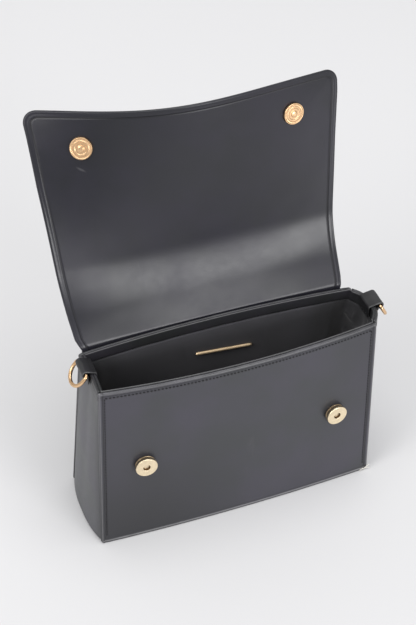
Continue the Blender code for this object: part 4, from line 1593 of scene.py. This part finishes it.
# Camera: where it looks, how far off it stands, degrees down, round and rolled
CAMERA_AIM = (-0.01496, 0.00641, 0.18394)
CAMERA_DISTANCE = 1.1595
CAMERA_DOWN = 42.11
CAMERA_ROUND = 23.17
CAMERA_ROLL = 2.28

SENSOR_WIDTH = 36.0

FLOOR_REACH = 6.0
FLOOR_SQUARES = 24

SKY_COLOUR = (0.95, 0.95, 0.955, 1.0)
SKY_STRENGTH = 0.62
# Name, place, aim, size, power, colour
LIGHTS = (
    ("key_soft", (-2.0, -0.6, 1.7), (0.0, 0.0, 0.10), 1.5, 26.0, (1.0, 0.99, 0.98)),
    ("top_soft", (0.1, -0.1, 2.8), (0.0, 0.05, 0.15), 2.2, 30.0, (1.0, 1.0, 1.0)),
    ("front_soft", (0.82, -2.22, 0.74), (0.0, 0.05, 0.22), 1.2, 29.0, (0.99, 0.99, 1.0)),
)


class BAG_OT_stage(BagOperator):
    """Floor, soft lights and the camera"""
    bl_idname = "bag.stage"
    bl_label = "Stage"

    def execute(self, context):
        self.floor()
        self.lights(context.scene)
        self.camera(context.scene)
        context.scene.view_settings.view_transform = "Standard"
        return {"FINISHED"}

    def floor(self):
        count = FLOOR_SQUARES
        line = np.linspace(-FLOOR_REACH, FLOOR_REACH, count + 1)
        vertices = [(x, y, 0.0) for y in line for x in line]
        faces = [(row * (count + 1) + column, row * (count + 1) + column + 1,
                  (row + 1) * (count + 1) + column + 1, (row + 1) * (count + 1) + column)
                 for row in range(count) for column in range(count)]
        floor = add_mesh("studio_floor", vertices, faces, "floor_paint")

    def lights(self, scene):
        for name, place, aim, size, power, tint in LIGHTS:
            lamp = bpy.data.lights.new(name, "AREA")
            lamp.shape = "DISK"
            lamp.size = size
            lamp.energy = power
            lamp.color = tint
            light = bpy.data.objects.new(name, lamp)
            light.location = place
            way = Vector(aim) - Vector(place)
            light.rotation_euler = way.to_track_quat("-Z", "Y").to_euler()
            scene.collection.objects.link(light)
        world = bpy.data.worlds.new("studio")
        world.use_nodes = True
        sky = world.node_tree.nodes["Background"]
        sky.inputs["Color"].default_value = SKY_COLOUR
        sky.inputs["Strength"].default_value = SKY_STRENGTH
        scene.world = world

    def camera(self, scene):
        down, turn, roll = (math.radians(value) for value in
                            (CAMERA_DOWN, CAMERA_ROUND, CAMERA_ROLL))
        behind = Vector((-math.sin(turn) * math.cos(down), -math.cos(turn) * math.cos(down),
                         math.sin(down)))
        right = Vector((math.cos(turn), -math.sin(turn), 0.0))
        up = behind.cross(right)
        rolled = right * math.cos(roll) + up * math.sin(roll)
        raised = up * math.cos(roll) - right * math.sin(roll)
        lens = bpy.data.cameras.new("studio_camera")
        lens.lens = settings("stage").lens
        lens.sensor_width = SENSOR_WIDTH
        camera = bpy.data.objects.new("studio_camera", lens)
        place = Vector(CAMERA_AIM) + behind * CAMERA_DISTANCE
        matrix = Matrix((rolled, raised, behind)).transposed().to_4x4()
        camera.matrix_world = Matrix.Translation(place) @ matrix
        scene.collection.objects.link(camera)
        scene.camera = camera


OPERATORS = (
    BAG_OT_stage, BAG_OT_panels, BAG_OT_gussets, BAG_OT_base, BAG_OT_lining, BAG_OT_flap,
    BAG_OT_snaps, BAG_OT_tabs, BAG_OT_rings, BAG_OT_bar,
)


class BAG_PT_sidebar(bpy.types.Panel):
    """The bag's pieces in the order that they are built"""
    bl_label = "Flap bag"
    bl_idname = "BAG_PT_sidebar"
    bl_space_type = "VIEW_3D"
    bl_region_type = "UI"
    bl_category = "Bag"

    def draw(self, context):
        for operator in OPERATORS:
            self.layout.operator(operator.bl_idname)
        for group in GROUPS:
            box = self.layout.box()
            box.label(text=group)
            for key in settings(group).__annotations__:
                box.prop(settings(group), key)


GROUPS = {
    "body": BodySizes,
    "flap": FlapSizes,
    "metal": MetalSizes,
    "colours": Colours,
    "stage": StageSettings,
}


def register():
    """Registers the groups, operators and panel."""
    for name, group in GROUPS.items():
        bpy.utils.register_class(group)
        setattr(bpy.types.Scene, "bag_" + name, PointerProperty(type=group))
    for operator in OPERATORS:
        bpy.utils.register_class(operator)
    bpy.utils.register_class(BAG_PT_sidebar)


def unregister():
    """Takes away what register added."""
    bpy.utils.unregister_class(BAG_PT_sidebar)
    for operator in reversed(OPERATORS):
        bpy.utils.unregister_class(operator)
    for name, group in GROUPS.items():
        delattr(bpy.types.Scene, "bag_" + name)
        bpy.utils.unregister_class(group)


def main():
    """Builds every piece in order."""
    register()
    for operator in OPERATORS:
        group, name = operator.bl_idname.split(".")
        getattr(getattr(bpy.ops, group), name)()


if __name__ == "__main__":
    main()
